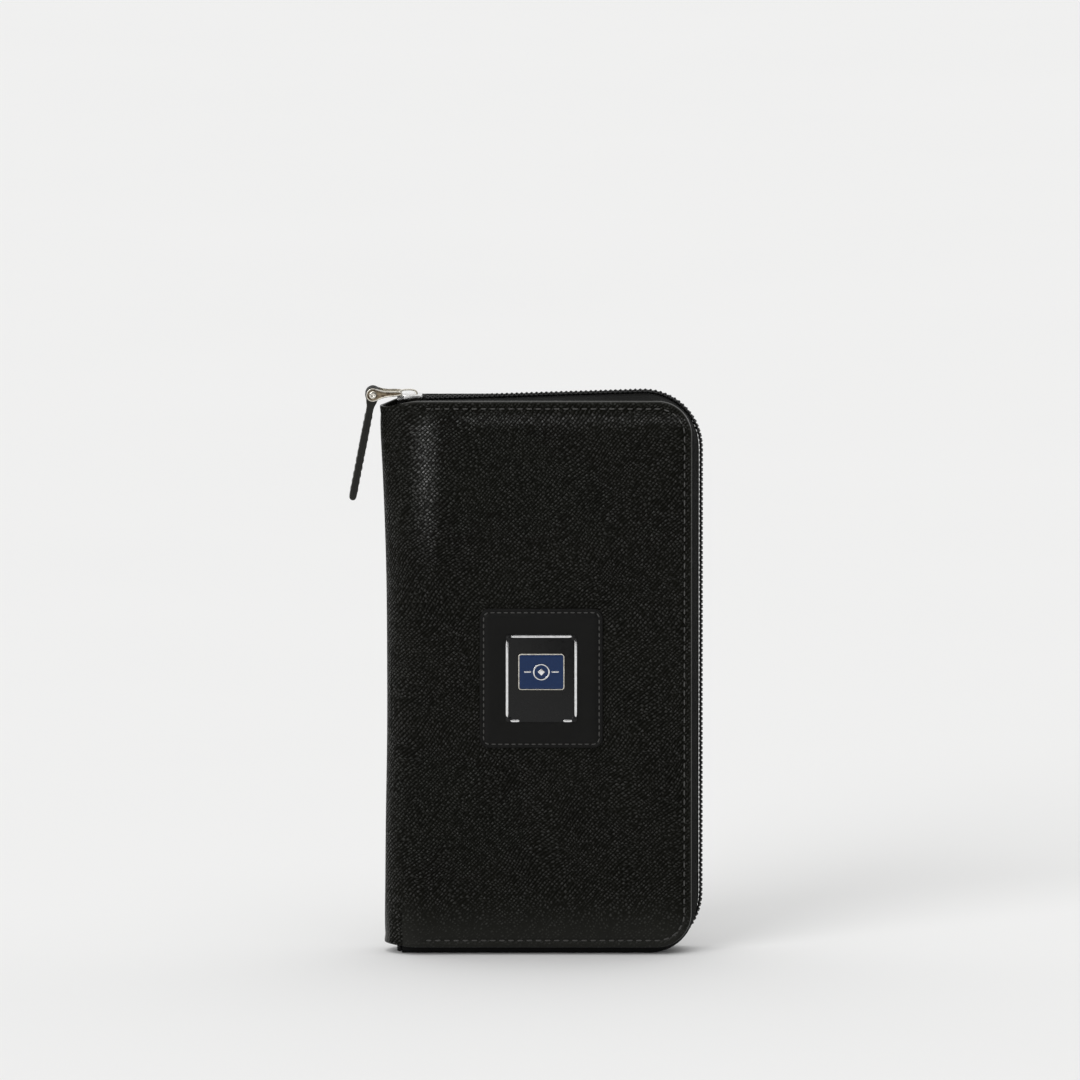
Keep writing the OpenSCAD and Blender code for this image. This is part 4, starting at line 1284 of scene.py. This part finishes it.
def soft_panel(name, node, material, slot, body, r=2.5, bow=0.25, facing=-1, hem=2.2, notch=0):
    """Leather panel of a pocket: rounded edges, a hem pressed along its top and a light bow."""
    low, high = cad_box(node)
    x0, x1, z0, z1 = low[0], high[0], low[2], high[2]
    middle, half_w = (x0 + x1) / 2, (x1 - x0) / 2
    nx, nz = 61, 81
    u = np.linspace(-1, 1, nx)
    xs = middle + half_w * np.sign(u) * (1 - (1 - np.abs(u)) ** 1.15)
    rise = 1 - (1 - np.linspace(0, 1, nz)) ** 1.1
    edge_x = half_w - np.abs(xs - middle)
    drop = np.where(edge_x < r, r - np.sqrt(np.maximum(r * r - (r - edge_x) ** 2, 0)), 0)
    top = z1 - drop
    if notch:
        dx = np.abs(xs - middle)
        bite = np.sqrt(np.maximum(notch ** 2 - dx ** 2, 0))
        top = top - bite - 0.8 * np.exp(-((dx - notch) / 1.5) ** 2)
    bottom = z0 + drop * (0 if z0 < 14 else 1)
    z = bottom[None, :] + (top - bottom)[None, :] * rise[:, None]
    x = np.broadcast_to(xs, z.shape)
    d = np.minimum(np.minimum(edge_x[None, :], z - z0), top[None, :] - z)
    face, back = (high[1], low[1]) if facing > 0 else (low[1], high[1])
    swell = bow * smooth(d / 18)
    bulge = swell - 0.16 * np.exp(-((d / 0.5) ** 2)) - 0.1 * np.exp(-(((d - hem) / 0.5) ** 2))
    y_face = face + facing * (bulge - 0.12)
    y_back = np.full(z.shape, back) + facing * bow * smooth(d / 18) * 0.9
    points = np.concatenate([np.stack([x, y, z], -1).reshape(-1, 3) for y in (y_face, y_back)])
    faces = grid_faces(nz, nx) + [f[::-1] for f in grid_faces(nz, nx, start=nx * nz)]
    rim = list(range(nx)) + [k * nx + nx - 1 for k in range(1, nz)]
    rim += [(nz - 1) * nx + k for k in range(nx - 2, -1, -1)] + [k * nx for k in range(nz - 2, 0, -1)]
    for a, b in zip(rim, rim[1:] + rim[:1]):
        faces.append([a, b, b + nx * nz, a + nx * nz])
    worn = np.tile(np.exp(-d / 0.6).ravel(), 2)
    add_part(name, (points, faces), material, body, [node], slot, flat=points[:, [0, 2, 1]], edge=worn)
    hem_x = np.linspace(x0 + r + 1, x1 - r - 1, 200)
    line = set_at(np.stack([hem_x, np.full(200, z1 - hem)], 1), face + facing * 0.02)
    lines = [line]
    if notch:
        line = line[(np.abs(line[:, 0] - middle) > notch + 3) & (line[:, 0] < middle)]
        lines = [line, line[::-1] * [-1, 1, 1] + [2 * middle, 0, 0]]
    for k, part in enumerate(lines):
        stitch_piece(f"{name}_hem_{k}", part, (0, facing, 0), body, None, pitch=3.2, length=2.2, radius=0.2)


def gusset_strip(name, node, body, closed=False):
    """Thin leather strip on edge round a pocket, folded inwards like a bellows."""
    low, high = cad_box(node)
    inset, thick, r = 0.4, 0.4, 3.0
    x0, x1, z0, z1 = low[0] + inset, high[0] - inset, low[2] + inset, high[2]
    a = np.radians(np.linspace(180, 270, 8))
    b = np.radians(np.linspace(270, 360, 8))
    line = [(x0, z) for z in np.linspace(z1, z0 + r, 40)]
    line += [(x0 + r + r * math.cos(k), z0 + r + r * math.sin(k)) for k in a]
    line += [(x, z0) for x in np.linspace(x0 + r, x1 - r, 30)[1:]]
    line += [(x1 - r + r * math.cos(k), z0 + r + r * math.sin(k)) for k in b]
    line += [(x1, z) for z in np.linspace(z0 + r, z1, 40)[1:]]
    line = np.array(line)
    if closed:
        line = closed_line(rounded_outline(x0, x1, z0, z1 - inset, r, 8), 200)
        t = unit(np.roll(line, -1, 0) - np.roll(line, 1, 0))
    else:
        t = unit(np.gradient(line, axis=0))
    inward = np.stack([-t[:, 1], t[:, 0]], 1)
    ys = np.linspace(low[1], high[1], 9)
    fold = 0.9 * (1 - np.abs(np.linspace(-1, 1, 9)) ** 1.5)
    outer = np.stack([set_at(line + inward * f, y) for y, f in zip(ys, fold)])
    loop = np.concatenate([outer, (outer + set_at(inward, 0)[None] * thick)[::-1]])
    n, m = loop.shape[:2]
    faces = grid_faces(n, m, wrap_rows=True, wrap_cols=closed) + ([] if closed else end_quads(n, m))
    points = loop.reshape(-1, 3)
    add_part(name, (points, faces), POCKET_LEATHER, body, [] if closed else [node], "pocket_leather",
             flat=points[:, [0, 2, 1]], sharp=50)


def coin_front(low, high, middle_z):
    """The coin pocket's front, with a long window for its zipper and a seam round the window."""
    face_y, panel_t, border = high[1], 0.8, 5
    centre = np.array([(low[0] + high[0]) / 2, middle_z])
    half_hole = np.array([(high[0] - low[0]) / 2 - border, 4.0])
    outline = closed_line(rounded_outline(low[0], high[0], low[2], high[2], 3, 10), 240)
    # the edge's points opposite the window's corners
    for sign in (-1, 1):
        for corner in (-1, 1):
            rise = corner * half_hole[1] * (half_hole[0] + border) / half_hole[0]
            outline = np.concatenate([outline, [centre + [sign * (half_hole[0] + border), rise]]])
    ray = outline - centre
    order = np.argsort(np.arctan2(ray[:, 1], ray[:, 0]))
    out_line, ray = outline[order], ray[order]
    in_line = centre + ray * np.min(half_hole / np.maximum(np.abs(ray), 1e-6), axis=1)[:, None]
    levels = [(0, -panel_t), (0, -0.3), (0.02, -0.05), (0.06, 0), (0.5, 0.02), (0.93, 0), (0.97, -0.08),
              (1, -0.3), (1, -panel_t)]
    loop = np.stack([set_at(mix(out_line, in_line, share), face_y + rise) for share, rise in levels])
    points = loop.reshape(-1, 3)
    faces = grid_faces(*loop.shape[:2], wrap_rows=True, wrap_cols=True)
    add_part("coin_front", (points, faces), POCKET_LEATHER, "front_cover", ["coin_pocket"],
             "pocket_leather", flat=points[:, [0, 2, 1]])
    reach = half_hole + 1.4
    seam = rounded_outline(centre[0] - reach[0], centre[0] + reach[0], centre[1] - reach[1],
                           centre[1] + reach[1], 1.5)
    line = set_at(np.concatenate([seam, seam[:1]]), face_y + 0.03)
    stitch_piece("coin_seam", line, (0, 1, 0), "front_cover", None, pitch=3.0, length=2.1, radius=0.2)


def coin_zipper(middle_z):
    """The coin pocket's two tapes and their small coils."""
    tape_lo, tape_hi = cad_box("coin_zip_tape")
    coil_lo, coil_hi = cad_box("coin_zip_coil")
    tapes, coils = [], []
    for side in (-1, 1):
        z0, z1 = middle_z + side * 0.45, middle_z + side * 5.8
        section = round_section(abs(z1 - z0), 0.5, 0.2, 4)
        run = np.stack([np.linspace(tape_lo[0], tape_hi[0], 40), np.full(40, (z0 + z1) / 2)], 1)
        tapes.append(sweep(set_at(run, tape_hi[1] - 0.3), np.tile([0.0, 0, 1], (40, 1)),
                           np.tile([0.0, 1, 0], (40, 1)), section))
        line = np.stack([np.linspace(coil_lo[0], coil_hi[0], 200), np.zeros(200)], 1)
        points, faces = coil(line, 0.0, 0.36, 0.2, 0.0, 0.3, 1.0, 0.25 * (1 + side), 10)
        x, y, z = points.T
        coils.append((np.stack([x, tape_hi[1] + 0.5 - z, middle_z + side * 1.02 + y], 1), faces))
    mesh = stack_meshes(tapes)
    add_part("coin_tape", mesh, TAPE, "front_cover", ["coin_zip_tape"], "zipper_tape",
             flat=mesh[0][:, [0, 2, 1]])
    add_part("coin_coil", stack_meshes(coils), NYLON, "front_cover", ["coin_zip_coil"], "zipper_coil")


def coin_pocket():
    """Gusseted pocket whose front opens with a small zipper across it."""
    tape_lo, tape_hi = cad_box("coin_zip_tape")
    middle_z = (tape_lo[2] + tape_hi[2]) / 2
    gusset_strip("coin_fold", "coin_pocket", "front_cover", closed=True)
    coin_front(*cad_box("coin_pocket"), middle_z)
    coin_zipper(middle_z)


def metal_node(node, material):
    """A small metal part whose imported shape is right, with its edges rounded."""
    part = frame["nodes"][node]
    part.data.materials.clear()
    part.data.materials.append(material)
    bevel = part.modifiers.new("round_edges", "BEVEL")
    bevel.width = 0.12 * MM
    bevel.segments = 2
    bevel.limit_method = "ANGLE"


for label, bite in (("ticket", 0), ("passport", 11)):
    soft_panel(f"{label}_front", f"{label}_panel", POCKET_LEATHER, "pocket_leather", "rear_cover", bow=0.3,
               notch=bite)
    gusset_strip(f"{label}_fold", f"{label}_gusset", "rear_cover")
for k in range(1, 5):
    soft_panel(f"card_front_{k}", f"card_slot_{k}", POCKET_LEATHER, "pocket_leather", "front_cover",
               facing=1, bow=0.0, r=1.5, hem=1.6)
soft_panel("card_back", "card_backing", LINING, "lining", "front_cover", facing=1, bow=0.0, r=1.0)
coin_pocket()
metal_node("coin_slider", CHROME)
metal_node("coin_pull", AGED_RIM)

# ---------- Floor, light and camera ----------


def floor():
    """Pale table top that fills the view."""
    g = Graph("pale_floor", Roughness=0.8, Specular_IOR_Level=0.0)
    cloud = g.noise(g.object_mm(), 0.004, 3.0)
    g.set("Base Color", g.colour(cloud, (0.83, 0.83, 0.828), (0.845, 0.845, 0.843)))
    mesh = bpy.data.meshes.new("floor")
    half = 14.0
    corners = [(-half, -half, 0), (half, -half, 0), (half, half, 0), (-half, half, 0)]
    mesh.from_pydata(corners, [], [(0, 1, 2, 3)])
    mesh.materials.append(g.material)
    plane = bpy.data.objects.new("floor", mesh)
    bpy.context.scene.collection.objects.link(plane)


def sky():
    """Even studio light from all round, dimmer from the front, where the camera stands."""
    world = bpy.data.worlds.new("studio")
    bpy.context.scene.world = world
    world.use_nodes = True
    tree = world.node_tree
    where = tree.nodes.new("ShaderNodeTexCoord")
    split = tree.nodes.new("ShaderNodeSeparateXYZ")
    tree.links.new(where.outputs["Generated"], split.inputs[0])
    ramp = tree.nodes.new("ShaderNodeMapRange")
    ramp.interpolation_type = "SMOOTHSTEP"
    for socket, value in ((1, -0.5), (2, 0.3), (3, 0.03), (4, 0.9)):
        ramp.inputs[socket].default_value = value
    tree.links.new(split.outputs[1], ramp.inputs[0])
    back = tree.nodes["Background"]
    back.inputs["Color"].default_value = (1.0, 1.0, 0.995, 1)
    tree.links.new(ramp.outputs[0], back.inputs["Strength"])


def soft_sun(name, azimuth, elevation, strength, angle):
    """Broad soft light from a direction; azimuth 0 comes from the camera's side, 90 from the right."""
    light = bpy.data.lights.new(name, "SUN")
    light.energy = strength
    light.angle = math.radians(angle)
    lamp = bpy.data.objects.new(name, light)
    a, e = math.radians(azimuth), math.radians(elevation)
    source = Vector((math.sin(a) * math.cos(e), -math.cos(a) * math.cos(e), math.sin(e)))
    lamp.rotation_euler = source.to_track_quat("Z", "Y").to_euler()
    bpy.context.scene.collection.objects.link(lamp)


def camera():
    """Long lens, a little above, aimed over the organizer's middle."""
    elevation = math.radians(8)
    distance, width = 9.0, 0.4368
    target = Vector((0.0056, 0.0, 0.1682))
    data = bpy.data.cameras.new("camera")
    data.sensor_width = 36
    data.lens = data.sensor_width * (distance - HALF_D * MM) / width
    data.clip_end = 60
    cam = bpy.data.objects.new("camera", data)
    back = Vector((0, -math.cos(elevation), math.sin(elevation)))
    cam.location = target + back * distance
    cam.rotation_euler = back.to_track_quat("Z", "Y").to_euler()
    bpy.context.scene.collection.objects.link(cam)
    bpy.context.scene.camera = cam


floor()
sky()
soft_sun("key", -36, 26, 1.35, 34)
soft_sun("overhead", 5, 74, 1.08, 60)
camera()
bpy.context.scene.view_settings.view_transform = "Standard"
